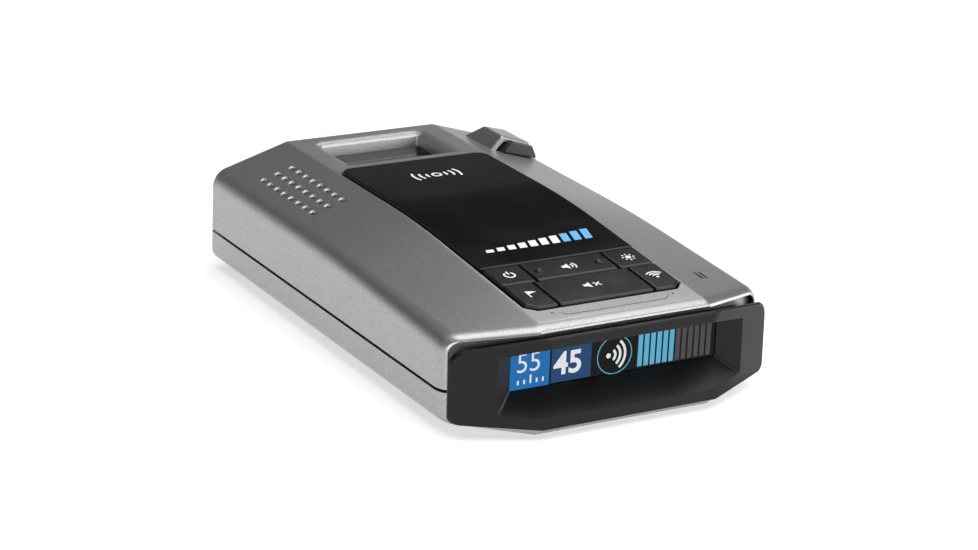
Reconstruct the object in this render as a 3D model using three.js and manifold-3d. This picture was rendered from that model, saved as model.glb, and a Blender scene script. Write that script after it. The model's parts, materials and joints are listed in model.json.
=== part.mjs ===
// Windshield radar detector: a two-part case, a proud display bezel, a six-key keypad, a magnetic
// mount pocket, and the antenna, sensors, boards and jacks inside.
// Millimetres. X is the width, +Y the windshield end, -Y the display, +Z up, z = 0 the underside.
import * as THREE from 'three';
import { mergeVertices } from 'three/addons/utils/BufferGeometryUtils.js';
import Module from 'manifold-3d';

const wasm = await Module();
wasm.setup();

// ---------------------------------------------------------------- driving dimensions
const WIDTH = 84;
const LENGTH = 133.2;
const WALL = 1.8;
const GAP = 0.3; // clearance between pieces that meet
const FAR = 200; // longer than the whole object, for cutters

const HALF_W = WIDTH / 2;
const HALF_L = LENGTH / 2;

// Top of the glossy panel: level at the windshield end, then an arc, then a straight slope.
const PANEL_TOP = 31.3;
const ARC_START = 12;
const ARC_END = -16;
const SLOPE = 0.095;
const PANEL_PROUD = 0.65; // the panel stands above the case's plateau
const PLATEAU_HALF = 21.4;

// Side facets, side walls and underside of the case.
const SHOULDER_REAR = 24.6;
const SHOULDER_FALL = 0.5; // the share of the plateau's fall that the shoulder follows
const SHOULDER_RADIUS = 4.5;
const KEEL_HALF = 22.8; // half-width of the flat underside and of the straight middle of the nose
const KEEL_RISE = 2.5;
const KEEL_RADIUS = 3;
const REAR_CORNER = 2.1; // plan radius of the windshield end's corners
const SEAM = 10;

// Nose of the case and the bezel that stands proud of it.
const NOSE_Y = -63.26;
const NOSE_SWEEP = 0.476; // how steeply the sides of the nose run back
const BEZEL_Y = -HALF_L;
const BEZEL_SWEEP = 0.445;
const BEZEL_BOTTOM = 2.25;
const BEZEL_HALF = 41.8;
const BEZEL_PLATE = 1.2; // the bezel's thickness in front of its narrower neck
const NOSE_LEAN = 0.035; // the nose leans back as it rises
const WINDOW_Y = -58.7; // where the display recess ends
const NOSE_OPENING_REAR = -54;

// Glossy panel and keypad.
const PANEL_HALF = 20.47;
const PANEL_REAR = 38.2;
const PANEL_CORNER = 3.2;
const KEYPAD_REAR = -32.8;
const KEYPAD_FRONT = -54.7;
const KEY_SPLIT = -42.1; // between the two rows of keys
const KEY_GAP = 0.35;
const KEY_CHAMFER = 2.4;
const KEY_TRAVEL_ROOM = 1.05;

// Mount pocket: upright walls up to the foot of a sloping rim.
const POCKET_HALF = 14.2;
const POCKET_FRONT = 42;
const POCKET_REAR = 61;
const POCKET_SKIRT = 26.9; // where the pocket's walls end
const POCKET_FLOOR = 27;
const RIM_FOOT = 29.6;
const RIM_HALF = 16; // half-width and rear edge of the rim where it meets the plateau
const RIM_REAR = 63.2;

// Main board.
const BOARD_TOP = 9.6;
const BOARD = 1.6;
const ON_BOARD = BOARD_TOP + GAP;

// ---------------------------------------------------------------- finishes
const FINISHES = {
  silver: [0x8f8c88, 0.38, 0.7],
  black: [0x1b1b1c, 0.45, 0],
  gloss: [0x101011, 0.12, 0],
  smoke: [0x15161a, 0.08, 0],
  clear: [0xdfe6ea, 0.05, 0],
  screen: [0x0d3f66, 0.2, 0],
  board: [0x1d5a34, 0.55, 0],
  flex: [0xb8742a, 0.4, 0],
  steel: [0xb9bbbd, 0.3, 1],
  cast: [0xa4a6a8, 0.5, 0.9],
  ceramic: [0xd8cfbd, 0.6, 0],
  foam: [0x2b2b2b, 0.95, 0],
  lens: [0x3a1116, 0.08, 0],
  paper: [0x24221f, 0.85, 0],
};

// ---------------------------------------------------------------- solids
function toSolid(geometry) {
  const bare = geometry.clone();
  bare.deleteAttribute('normal');
  bare.deleteAttribute('uv');
  const merged = mergeVertices(bare, 1e-4);
  return new wasm.Manifold(
    new wasm.Mesh({
      numProp: 3,
      vertProperties: new Float32Array(merged.attributes.position.array),
      triVerts: new Uint32Array(merged.index.array),
    }),
  );
}

function toGeometry(solid) {
  const mesh = solid.getMesh();
  const geometry = new THREE.BufferGeometry();
  geometry.setAttribute('position', new THREE.BufferAttribute(mesh.vertProperties, 3));
  geometry.setIndex(new THREE.BufferAttribute(mesh.triVerts, 1));
  geometry.computeVertexNormals();
  return geometry;
}

function join(first, ...others) {
  return others.reduce((sum, solid) => sum.add(solid), first);
}

function cut(first, ...others) {
  return others.reduce((rest, solid) => rest.subtract(solid), first);
}

function box([x0, x1], [y0, y1], [z0, z1]) {
  const geometry = new THREE.BoxGeometry(x1 - x0, y1 - y0, z1 - z0);
  return toSolid(geometry.translate((x0 + x1) / 2, (y0 + y1) / 2, (z0 + z1) / 2));
}

// A box centred on x = 0.
function middleBox(half, ySpan, zSpan) {
  return box([-half, half], ySpan, zSpan);
}

// Where the outline's two directions and the extrusion go, for each extrusion axis.
const TURNS = {
  x: new THREE.Matrix4().set(0, 0, 1, 0, 1, 0, 0, 0, 0, 1, 0, 0, 0, 0, 0, 1),
  y: new THREE.Matrix4().set(1, 0, 0, 0, 0, 0, -1, 0, 0, 1, 0, 0, 0, 0, 0, 1),
  z: new THREE.Matrix4(),
};

// An outline extruded along one axis from low to high. The outline is in (y, z), (x, z) or (x, y).
function prism(outline, axis, [low, high]) {
  const shape = new THREE.Shape(outline.map(([a, b]) => new THREE.Vector2(a, b)));
  const geometry = new THREE.ExtrudeGeometry(shape, { depth: high - low, bevelEnabled: false });
  geometry.translate(0, 0, axis === 'y' ? -high : low);
  return toSolid(geometry.applyMatrix4(TURNS[axis]));
}

function cylinder(radius, axis, [low, high], [a, b], segments = 16) {
  const outline = [];
  for (let i = 0; i < segments; i += 1) {
    const angle = (2 * Math.PI * (i + 0.5)) / segments;
    outline.push([a + radius * Math.cos(angle), b + radius * Math.sin(angle)]);
  }
  return prism(outline, axis, [low, high]);
}

// Rounds each corner [a, b, radius] of a closed outline with an arc of the given steps.
function rounded(corners, steps = 4) {
  return corners.flatMap(([a, b, radius = 0], i) => {
    if (radius === 0) return [[a, b]];
    const corner = new THREE.Vector2(a, b);
    const towards = (k) => {
      const [x, y] = corners[(i + k + corners.length) % corners.length];
      return new THREE.Vector2(x, y).sub(corner).normalize();
    };
    const before = towards(-1);
    const after = towards(1);
    const half = before.angleTo(after) / 2;
    const middle = before.clone().add(after).normalize();
    const centre = corner.clone().addScaledVector(middle, radius / Math.sin(half));
    const start = corner.clone().addScaledVector(before, radius / Math.tan(half)).sub(centre);
    const end = corner.clone().addScaledVector(after, radius / Math.tan(half)).sub(centre);
    const turn = Math.atan2(start.cross(end), start.dot(end));
    return Array.from({ length: steps + 1 }, (_, k) => {
      const spoke = start.clone().rotateAround(new THREE.Vector2(), (turn * k) / steps);
      return [centre.x + spoke.x, centre.y + spoke.y];
    });
  });
}

// A closed solid through rings of 3-D points, which all have the same count and run the same way.
function loft(rings) {
  const count = rings[0].length;
  const faces = [];
  for (let r = 0; r + 1 < rings.length; r += 1) {
    for (let i = 0; i < count; i += 1) {
      const [a, b] = [r * count + i, r * count + ((i + 1) % count)];
      faces.push(a, b, a + count, b, b + count, a + count);
    }
  }
  const capOf = (ring) => {
    const flat = ring.map(([x, , z]) => new THREE.Vector2(x, z));
    return THREE.ShapeUtils.triangulateShape(flat, []);
  };
  const last = (rings.length - 1) * count;
  capOf(rings[0]).forEach(([a, b, c]) => faces.push(a, c, b));
  capOf(rings.at(-1)).forEach(([a, b, c]) => faces.push(last + a, last + b, last + c));
  const geometry = new THREE.BufferGeometry();
  geometry.setAttribute('position', new THREE.Float32BufferAttribute(rings.flat(2), 3));
  geometry.setIndex(faces);
  const solid = toSolid(geometry);
  return solid.volume() > 0 ? solid : toSolid(flipped(geometry));
}

function flipped(geometry) {
  const faces = [];
  for (let i = 0; i < geometry.index.count; i += 3) {
    faces.push(geometry.index.getX(i), geometry.index.getX(i + 2), geometry.index.getX(i + 1));
  }
  geometry.setIndex(faces);
  return geometry;
}

function mirrorOutline(half) {
  return [...half, ...half.map(([x, z, ...rest]) => [-x, z, ...rest]).reverse()];
}

// ---------------------------------------------------------------- the object as nested groups
const detector = new THREE.Group();

function place(parent, name, solid, finish) {
  const [color, roughness, metalness] = FINISHES[finish];
  const material = new THREE.MeshStandardMaterial({ color, roughness, metalness });
  const mesh = new THREE.Mesh(toGeometry(solid), material);
  mesh.name = name;
  parent.add(mesh);
}

// Plain blocks: [name, x span, y span, z span, finish]. A single number is a half-width about x = 0.
function placeBlocks(blocks) {
  blocks.forEach(([name, x, ySpan, zSpan, finish]) => {
    const xSpan = Array.isArray(x) ? x : [-x, x];
    place(detector, name, box(xSpan, ySpan, zSpan), finish);
  });
}

// ---------------------------------------------------------------- form of the case
function panelTop(y) {
  if (y >= ARC_START) return PANEL_TOP;
  const arcLength = ARC_START - ARC_END;
  const along = Math.min(ARC_START - y, arcLength);
  const beyond = Math.max(ARC_END - y, 0);
  return PANEL_TOP - (SLOPE * along * along) / (2 * arcLength) - SLOPE * beyond;
}

function plateau(y) {
  return panelTop(y) - PANEL_PROUD;
}

function shoulder(y) {
  return SHOULDER_REAR - SHOULDER_FALL * (PANEL_TOP - panelTop(y));
}

// The upper surface's height on a side facet.
function facet(x, y) {
  const rise = (plateau(y) - shoulder(y)) / (HALF_W - PLATEAU_HALF);
  return shoulder(y) + rise * (HALF_W - Math.abs(x));
}

const STATIONS = [-70, -54, -43, -32, -20, ARC_END, -11, -6, -1, 5, ARC_START, 30, 50, 70];

// The case's section at one station, moved inwards by a wall thickness.
function section(y, wall) {
  const facetDrop = 0.7 * wall;
  const half = [
    [KEEL_HALF, wall],
    [HALF_W - wall, KEEL_RISE + wall, KEEL_RADIUS - wall / 2],
    [HALF_W - wall, shoulder(y) - facetDrop, SHOULDER_RADIUS - wall],
    [PLATEAU_HALF, plateau(y) - wall],
  ];
  return rounded(mirrorOutline(half)).map(([x, z]) => [x, y, z]);
}

// Everything behind the nose's plane, which is straight in the middle and swept back at the sides.
function behindNose(frontY, sweep) {
  const outside = HALF_W + 10;
  const half = [
    [KEEL_HALF, frontY],
    [outside, frontY + sweep * (outside - KEEL_HALF)],
    [outside, FAR],
  ];
  const lean = new THREE.Matrix4().set(1, 0, 0, 0, 0, 1, NOSE_LEAN, 0, 0, 0, 1, 0, 0, 0, 0, 1);
  return prism(mirrorOutline(half), 'z', [-10, 60]).transform(lean.elements);
}

// The plan outline behind the nose, with rounded corners at the windshield end.
function planBlock(inset, cornerRadius) {
  const half = [
    [HALF_W + 1, -FAR],
    [HALF_W - inset, -FAR / 2],
    [HALF_W - inset, HALF_L - inset, cornerRadius],
  ];
  return prism(rounded(mirrorOutline(half), 5), 'z', [-10, 60]);
}

function caseBlock(inset) {
  const body = loft(STATIONS.map((y) => section(y, inset)));
  const plan = planBlock(inset, REAR_CORNER - inset);
  return body.intersect(plan).intersect(behindNose(NOSE_Y + inset, NOSE_SWEEP));
}

// The bezel's sleeve, and with a gap the opening in the nose that it passes through.
function sleeveBlock(gap, rearY) {
  const half = [
    [23.7, 4.4 - gap],
    [33.5 + gap, 5.8 - gap],
    [33.5 + gap, 19.3 + gap],
    [23.7, 21.6 + gap],
  ];
  return prism(mirrorOutline(half), 'y', [-75, rearY]);
}

// ---------------------------------------------------------------- fasteners and where they go
const SCREW_SPOTS = [[-35, -36], [35, -36], [-35.3, 60.3], [35.3, 60.3]];
const SCREW_SEAT = 3.5;
const FRONT_BOSS_TOP = BOARD_TOP - BOARD - GAP;

function onBoard(y) {
  return y < 0; // the two screws at the display end also hold the main board
}

function caseScrew([x, y]) {
  const head = cylinder(2.6, 'z', [1.8, SCREW_SEAT - GAP], [x, y], 14);
  const shaft = cylinder(1.1, 'z', [SCREW_SEAT - GAP - 0.1, 19.5], [x, y], 10);
  return join(head, shaft);
}

// ---------------------------------------------------------------- sensor hood at the right rear
const HOOD_FRONT = 45;
const HOOD_RIDGE_REAR = 52.5;
const HOOD_END = 60;
const HOOD_OUTLINE = [[25.8, 26], [26.6, 28.7], [30.05, 32.3], [38.4, 29.5], [41, 24.6], [41, 19]];
const HOOD_HOLLOW = [[27.9, 22], [27.9, 28.0], [30.7, 30.6], [37.6, 28.3], [39.3, 24.4], [39.3, 22]];
const REAR_LENS_OUTLINE = [[29.6, 28.9], [32.2, 31.0], [38.2, 29.1], [39.6, 25.6], [36, 27.4]];

function hoodSide() {
  const outline = [[HOOD_FRONT, 15], [HOOD_END, 15], [HOOD_END, 28], [HOOD_RIDGE_REAR, 34], [HOOD_FRONT, 34]];
  return prism(outline, 'x', [20, 50]);
}

function hood() {
  return prism(HOOD_OUTLINE, 'y', [HOOD_FRONT, HOOD_END]).intersect(hoodSide());
}

function hoodHollow() {
  return prism(HOOD_HOLLOW, 'y', [HOOD_FRONT - 0.1, HOOD_RIDGE_REAR]);
}

// ---------------------------------------------------------------- jacks in the right-hand wall
const POWER_SOCKET = { y: [25.9, 35.8], z: [11, 17.9] };
const EARPHONE = { y: 17, z: 13.2, radius: 2.3 };
const USB = { y: [4.2, 11.8], z: [ON_BOARD, ON_BOARD + 2.8] };

function widened([low, high], by) {
  return [low - by, high + by];
}

// The two square openings are notches that run down to the seam.
function jackOpenings() {
  const wallSpan = [HALF_W - 5, HALF_W + 5];
  const notches = [POWER_SOCKET, USB].map(({ y, z }) => box(wallSpan, widened(y, 0.4), [0, z[1] + 0.4]));
  return [...notches, cylinder(EARPHONE.radius, 'x', wallSpan, [EARPHONE.y, EARPHONE.z])];
}

// ---------------------------------------------------------------- upper case
const HOLE_PITCH = 3.88;
const HOLE_ROWS = [-34.86, -30.98, -27.1];
const HOLE_COUNT = 8;
const FIRST_HOLE = 22.7;
const SPEAKER_Y = FIRST_HOLE + (HOLE_PITCH * (HOLE_COUNT - 1)) / 2;

function facetTilt(y) {
  return Math.atan((plateau(y) - shoulder(y)) / (HALF_W - PLATEAU_HALF));
}

function speakerHoles() {
  const holes = [];
  for (const x of HOLE_ROWS) {
    for (let i = 0; i < HOLE_COUNT; i += 1) {
      const y = FIRST_HOLE + i * HOLE_PITCH;
      const drill = new THREE.CylinderGeometry(0.9, 0.9, 8, 8);
      drill.rotateX(Math.PI / 2);
      drill.rotateY(-facetTilt(y));
      holes.push(toSolid(drill.translate(x, y, facet(x, y))));
    }
  }
  return holes;
}

function panelOpening() {
  const edge = PANEL_HALF + GAP;
  const front = KEYPAD_FRONT - GAP;
  const half = [
    [edge - KEY_CHAMFER, front],
    [edge, front + KEY_CHAMFER],
    [edge, PANEL_REAR + GAP, PANEL_CORNER + GAP],
  ];
  return prism(rounded(mirrorOutline(half)), 'z', [SEAM + 5, 60]);
}

// The pocket's opening: upright walls, and above them a rim that slopes outwards to the plateau.
function pocketOpening() {
  const level = PANEL_TOP - PANEL_PROUD;
  const top = 2 * level - RIM_FOOT;
  const across = mirrorOutline([[POCKET_HALF, RIM_FOOT], [2 * RIM_HALF - POCKET_HALF, top]]);
  const along = [
    [POCKET_FRONT, RIM_FOOT],
    [POCKET_REAR, RIM_FOOT],
    [2 * RIM_REAR - POCKET_REAR, top],
    [POCKET_FRONT, top],
  ];
  const rim = prism(across, 'y', [POCKET_FRONT, FAR]).intersect(prism(along, 'x', [-FAR, FAR]));
  return join(rim, middleBox(POCKET_HALF, [POCKET_FRONT, POCKET_REAR], [POCKET_SKIRT - 5, 60]));
}

const END_WINDOW_HALF = 30;
const END_WINDOW_Z = [11.5, 20.5];
const LIGHT_SLOTS = [[29.2, -47.2], [30.7, -46.9]];

function upperBosses(space) {
  return SCREW_SPOTS.map(([x, y]) => {
    const foot = onBoard(y) ? BOARD_TOP + GAP : SEAM + GAP / 2;
    return cylinder(2.8, 'z', [foot, 40], [x, y], 14).intersect(space);
  });
}

function upperCase() {
  const outside = caseBlock(0);
  const inside = caseBlock(WALL);
  const pocketBlock = middleBox(RIM_HALF + 1.2, [POCKET_FRONT - 1.5, HALF_L - 1], [POCKET_SKIRT, 40]);
  const shell = join(cut(outside, inside), ...upperBosses(outside), pocketBlock.intersect(outside), hood());
  return cut(
    shell,
    middleBox(FAR, [-FAR, FAR], [-10, SEAM + GAP / 2]),
    panelOpening(),
    pocketOpening(),
    hoodHollow(),
    sleeveBlock(GAP, NOSE_OPENING_REAR),
    middleBox(END_WINDOW_HALF + GAP, [HALF_L - 4, HALF_L + 4], widened(END_WINDOW_Z, GAP)),
    ...jackOpenings(),
    ...speakerHoles(),
    ...LIGHT_SLOTS.map(([x, y]) => box([x - 0.35, x + 0.35], [y - 1.9, y + 1.9], [19, 30])),
    ...SCREW_SPOTS.map((spot) => cylinder(1.4, 'z', [5, 20], spot, 10)),
  );
}

// ---------------------------------------------------------------- lower case
function lowerCase() {
  const outside = caseBlock(0);
  const bosses = SCREW_SPOTS.map((spot) => {
    const top = onBoard(spot[1]) ? FRONT_BOSS_TOP : SEAM;
    return cylinder(3.7, 'z', [-1, top], spot, 16).intersect(outside);
  });
  const labelRecess = middleBox(20, [-22, 22], [-1, 0.35]);
  return cut(
    join(cut(outside, caseBlock(WALL)), ...bosses),
    middleBox(FAR, [-FAR, FAR], [SEAM - GAP / 2, 60]),
    sleeveBlock(GAP, NOSE_OPENING_REAR),
    labelRecess,
    ...SCREW_SPOTS.map((spot) => cylinder(2.9, 'z', [-2, SCREW_SEAT], spot, 16)),
    ...SCREW_SPOTS.map((spot) => cylinder(1.4, 'z', [-2, 30], spot, 10)),
  );
}

// ---------------------------------------------------------------- bezel and display
// Right-hand corners of the display recess, at the window and at the bezel's face.
const RECESS_BACK_Y = WINDOW_Y + 0.1;
const RECESS_SIDE_Y = -62.5;
const RECESS_BACK = [
  [21.9, RECESS_BACK_Y, 9.3],
  [27.2, RECESS_BACK_Y, 9.3],
  [27.2, RECESS_BACK_Y, 19.6],
  [21.9, RECESS_BACK_Y, 19.6],
];
const RECESS_FACE = [
  [21.9, BEZEL_Y, 4.84],
  [32.05, RECESS_SIDE_Y, 5.89],
  [32.05, RECESS_SIDE_Y, 19.0],
  [21.9, BEZEL_Y, 20.9],
];
const RECESS_REACH = 2.6; // how far the cutter goes, as a share of the way from back to face
const NECK_INSET = 1.3; // how far the bezel's neck is drawn in from its plate

// The display recess: a funnel from the bezel's face back to the window.
function recess() {
  const ringAt = (reach) => {
    const half = RECESS_BACK.map((corner, i) => {
      const face = new THREE.Vector3(...RECESS_FACE[i]);
      return new THREE.Vector3(...corner).lerp(face, reach).toArray();
    });
    return [...half, ...half.map(([x, y, z]) => [-x, y, z]).reverse()];
  };
  return loft([ringAt(RECESS_REACH), ringAt(0)]);
}

function bezel() {
  const bezelPlane = BEZEL_Y - BEZEL_BOTTOM * NOSE_LEAN;
  const outlineAt = (inset) => {
    const half = [
      [KEEL_HALF, BEZEL_BOTTOM + inset],
      [BEZEL_HALF - inset, 3.6 + inset, 1.9],
      [BEZEL_HALF - inset, 19.9 - inset, 3.4],
      [KEEL_HALF, 23.3 - inset],
    ];
    return prism(rounded(mirrorOutline(half), 3), 'y', [-75, -50]);
  };
  const front = outlineAt(0).intersect(behindNose(bezelPlane, BEZEL_SWEEP));
  const plate = cut(front, behindNose(bezelPlane + BEZEL_PLATE, BEZEL_SWEEP));
  const neckFront = behindNose(bezelPlane + BEZEL_PLATE - 0.2, BEZEL_SWEEP);
  const neck = cut(outlineAt(NECK_INSET).intersect(neckFront), behindNose(NOSE_Y - GAP, NOSE_SWEEP));
  const sleeve = sleeveBlock(0, WINDOW_Y + 0.05).intersect(behindNose(NOSE_Y - 1, NOSE_SWEEP));
  return cut(join(plate, neck, sleeve), recess());
}

const MODULE = { half: 28.3, z: [8.4, 20.2] };
const RIBBON = 0.3; // thickness of a flat cable

function displayHolder() {
  const plate = middleBox(30, [-56.8, -53.6], [6.5, 21.2]);
  const well = middleBox(MODULE.half + GAP, [-60, -54.7], widened(MODULE.z, GAP));
  const cableSlot = middleBox(9, [-60, -50], [9, 15]);
  return cut(plate, well, cableSlot);
}

function display() {
  const cablePath = [[-52, 14], [-49, 14.5], [-47, 12.5], [-44, 10.1]];
  place(detector, 'front_bezel', bezel(), 'black');
  place(detector, 'display_holder', displayHolder(), 'black');
  place(detector, 'display_flex_cable', ribbon(cablePath, 8), 'flex');
  placeBlocks([
    ['display_window', MODULE.half + 0.5, [WINDOW_Y + GAP, WINDOW_Y + 1.3], [8.1, MODULE.z[1]], 'clear'],
    ['display_module', MODULE.half, [-57.1, -55], MODULE.z, 'screen'],
    ['display_board', 32.5, [-53.3, -52.3], [6.5, 18.6], 'board'],
  ]);
}

// A flat cable of even thickness that follows (y, z) points.
function ribbon(points, half, offset = 0) {
  const path = points.map(([y, z]) => new THREE.Vector2(y, z));
  const farSide = path.map((point, i) => {
    const along = path[Math.min(i + 1, path.length - 1)].clone().sub(path[Math.max(i - 1, 0)]).normalize();
    return [point.x - RIBBON * along.y, point.y + RIBBON * along.x];
  });
  return prism([...points, ...farSide.reverse()], 'x', [offset - half, offset + half]);
}

// ---------------------------------------------------------------- glossy panel and its frame
// A layer that follows the top profile, between two depths below the panel's top.
function topLayer([yFront, yRear], [shallow, deep], half) {
  const inner = STATIONS.filter((y) => y > yFront && y < yRear);
  const ys = [yFront, ...inner, yRear];
  const upper = ys.map((y) => [y, panelTop(y) - shallow]);
  const lower = ys.map((y) => [y, panelTop(y) - deep]).reverse();
  return prism([...upper, ...lower].reverse(), 'x', [-half, half]);
}

const SLOPE_ANGLE = Math.atan(SLOPE);
const KEYPAD = new THREE.Group();
KEYPAD.position.set(0, KEYPAD_REAR, panelTop(KEYPAD_REAR));
KEYPAD.rotation.x = SLOPE_ANGLE;
detector.add(KEYPAD);
KEYPAD.updateMatrix();

// Distances down the keypad's slope from its rear edge.
const ROW_SPLIT = (KEY_SPLIT - KEYPAD_REAR) / Math.cos(SLOPE_ANGLE);
const ROW_END = (KEYPAD_FRONT - KEYPAD_REAR) / Math.cos(SLOPE_ANGLE);
const FRONT_ROW_X = 12.6;
const REAR_ROW_X = 10.95;
const CAP = 1.9;
const CAP_BEVEL = 0.6;
const STEM_FOOT = -5;
const STEM_HALF = 1.2;
const SWITCH_TOP = -5.8;
const SWITCH_FOOT = -7.6;
const SWITCH_HALF = 2.2;
const FRAME_DEPTH = [CAP + KEY_TRAVEL_ROOM, CAP + KEY_TRAVEL_ROOM + 1.2];

const rowSpans = { rear: [ROW_SPLIT, 0], front: [ROW_END, ROW_SPLIT] };
const rowMiddles = { rear: ROW_SPLIT / 2, front: (ROW_SPLIT + ROW_END) / 2 };
const ROCKER_X = 8;
const sideX = (REAR_ROW_X + PANEL_HALF) / 2;
const frontSideX = (FRONT_ROW_X + PANEL_HALF) / 2;

const OUTER = PANEL_HALF;
const KEYS = [
  { name: 'power_key', x: [-OUTER, -REAR_ROW_X], row: 'rear', stems: [-sideX] },
  { name: 'volume_rocker', x: [-REAR_ROW_X, REAR_ROW_X], row: 'rear', stems: [-ROCKER_X, ROCKER_X] },
  { name: 'brightness_key', x: [REAR_ROW_X, OUTER], row: 'rear', stems: [sideX] },
  { name: 'mark_key', x: [-OUTER, -FRONT_ROW_X], row: 'front', stems: [-frontSideX], chamfer: 'left' },
  { name: 'mute_key', x: [-FRONT_ROW_X, FRONT_ROW_X], row: 'front', stems: [0] },
  { name: 'sensitivity_key', x: [FRONT_ROW_X, OUTER], row: 'front', stems: [frontSideX], chamfer: 'right' },
];

const SWITCHES = [
  ['power_switch', -sideX, 'rear'],
  ['volume_down_switch', -ROCKER_X, 'rear'],
  ['volume_up_switch', ROCKER_X, 'rear'],
  ['brightness_switch', sideX, 'rear'],
  ['mark_switch', -frontSideX, 'front'],
  ['mute_switch', 0, 'front'],
  ['sensitivity_switch', frontSideX, 'front'],
];

function keyOutline({ x, row, chamfer }) {
  const inset = KEY_GAP / 2;
  const [x0, x1] = [x[0] + inset, x[1] - inset];
  const [y0, y1] = [rowSpans[row][0] + inset, rowSpans[row][1] - inset];
  const left = chamfer === 'left' ? [[x0, y0 + KEY_CHAMFER], [x0 + KEY_CHAMFER, y0]] : [[x0, y0]];
  const right = chamfer === 'right' ? [[x1 - KEY_CHAMFER, y0], [x1, y0 + KEY_CHAMFER]] : [[x1, y0]];
  return [...left, ...right, [x1, y1], [x0, y1]];
}

// A key's cap with bevelled upper edges; its top is at z = 0 in the keypad's group.
function keyCap(key) {
  const outline = keyOutline(key);
  const shape = new THREE.Shape(outline.map(([x, y]) => new THREE.Vector2(x, y)));
  const bevelled = new THREE.ExtrudeGeometry(shape, {
    depth: CAP,
    bevelThickness: CAP_BEVEL,
    bevelSize: CAP_BEVEL,
    bevelOffset: -CAP_BEVEL,
    bevelSegments: 1,
  });
  const block = toSolid(bevelled.translate(0, 0, -CAP - CAP_BEVEL));
  return block.intersect(prism(outline, 'z', [-CAP, 1]));
}

// A square post centred on (x, y), from low to high.
function post(x, y, half, zSpan) {
  return box(widened([x, x], half), widened([y, y], half), zSpan);
}

function keySolid(key) {
  const y = rowMiddles[key.row];
  const stems = key.stems.map((x) => post(x, y, STEM_HALF, [STEM_FOOT, 0.2 - CAP]));
  const isRocker = key.stems.length === 2;
  const dots = isRocker ? key.stems.map((x) => raisedDot(x, y)) : [];
  return join(keyCap(key), ...stems, ...dots);
}

function raisedDot(x, y) {
  const dome = new THREE.SphereGeometry(1.1, 12, 8).rotateX(Math.PI / 2);
  return toSolid(dome.scale(1, 1, 0.5).translate(x, y, 0));
}

function tactSwitch(x, y) {
  const body = post(x, y, SWITCH_HALF, [SWITCH_FOOT, SWITCH_TOP - 0.4]);
  return join(body, cylinder(1.1, 'z', [SWITCH_FOOT + 0.6, SWITCH_TOP], [x, y], 12));
}

const PANEL_THICKNESS = 2.5;
const FRAME_SPAN = [KEYPAD_FRONT - 1.2, 21.5];
const FRAME_HALF = PLATEAU_HALF + 0.4;

function keypadFrame() {
  const holes = KEYS.flatMap((key) => key.stems.map((x) => {
    const hole = post(x, rowMiddles[key.row], STEM_HALF + 0.5, [-9, 2]);
    return hole.transform(KEYPAD.matrix.elements);
  }));
  const antennaHole = middleBox(9.5, [-0.5, 18.5], [20, 40]);
  return cut(topLayer(FRAME_SPAN, FRAME_DEPTH, FRAME_HALF), antennaHole, ...holes);
}

function keypad() {
  const panelFront = KEYPAD_REAR + GAP;
  const panelPlan = mirrorOutline([[PANEL_HALF, panelFront], [PANEL_HALF, PANEL_REAR, PANEL_CORNER]]);
  const panel = topLayer([panelFront, PANEL_REAR], [0, PANEL_THICKNESS], PANEL_HALF);
  place(detector, 'top_panel', panel.intersect(prism(rounded(panelPlan), 'z', [0, 60])), 'gloss');
  place(detector, 'keypad_frame', keypadFrame(), 'black');
  KEYS.forEach((key) => place(KEYPAD, key.name, keySolid(key), 'black'));
  SWITCHES.forEach(([name, x, row]) => place(KEYPAD, name, tactSwitch(x, rowMiddles[row]), 'steel'));
  const boardTop = SWITCH_FOOT - GAP;
  place(KEYPAD, 'keypad_board', middleBox(20.2, [-19.2, -1.5], [boardTop - 1, boardTop]), 'board');
  const cablePath = [[-35.5, 18.1], [-29.5, 17.4], [-27, 17.2], [-26, 14], [-27.5, 11], [-30, 10.1]];
  place(detector, 'keypad_flex_cable', ribbon(cablePath, 5, 25.5), 'flex');
}

// ---------------------------------------------------------------- mount pocket
const FLANGE_TOP = POCKET_SKIRT - GAP;
const FLOOR_BOTTOM = FLANGE_TOP - 1.6;
const MAGNET_X = [4, 14];
const MAGNET_Y = [46, 57];
const MAGNET_Z = [23.2, FLOOR_BOTTOM - GAP];

// The pocket's floor: a pad inside the walls, a flange below them, and a frame round each magnet.
function mountBracket() {
  const flangeSpan = [POCKET_FRONT - 1.5, HALF_L - WALL - 0.4];
  const padSpan = [POCKET_FRONT + GAP, POCKET_REAR - GAP];
  const flange = middleBox(RIM_HALF + 1.2, flangeSpan, [FLOOR_BOTTOM, FLANGE_TOP]);
  const pad = middleBox(POCKET_HALF - GAP, padSpan, [FLOOR_BOTTOM, POCKET_FLOOR]);
  const block = middleBox(MAGNET_X[1] + 1.2, widened(MAGNET_Y, 1.2), [MAGNET_Z[0], FLOOR_BOTTOM]);
  const wells = [1, -1].map((side) => {
    const span = MAGNET_X.map((x) => side * x).sort((a, b) => a - b);
    return box(widened(span, GAP), widened(MAGNET_Y, GAP), [0, FLOOR_BOTTOM]);
  });
  return join(flange, pad, cut(block, ...wells));
}

function mountPocket() {
  const [near, far] = MAGNET_X;
  place(detector, 'mount_bracket', mountBracket(), 'black');
  placeBlocks([
    ['mount_magnet_left', [-far, -near], MAGNET_Y, MAGNET_Z, 'steel'],
    ['mount_magnet_right', [near, far], MAGNET_Y, MAGNET_Z, 'steel'],
  ]);
}

// ---------------------------------------------------------------- radar receiver
const HORN_TOP = 20.1;
const HORN_THROAT_Y = 36;
const HORN_MOUTH_Y = 62.4;

function rectRing(half, [z0, z1], y) {
  return [[half, y, z0], [half, y, z1], [-half, y, z1], [-half, y, z0]];
}

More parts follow.
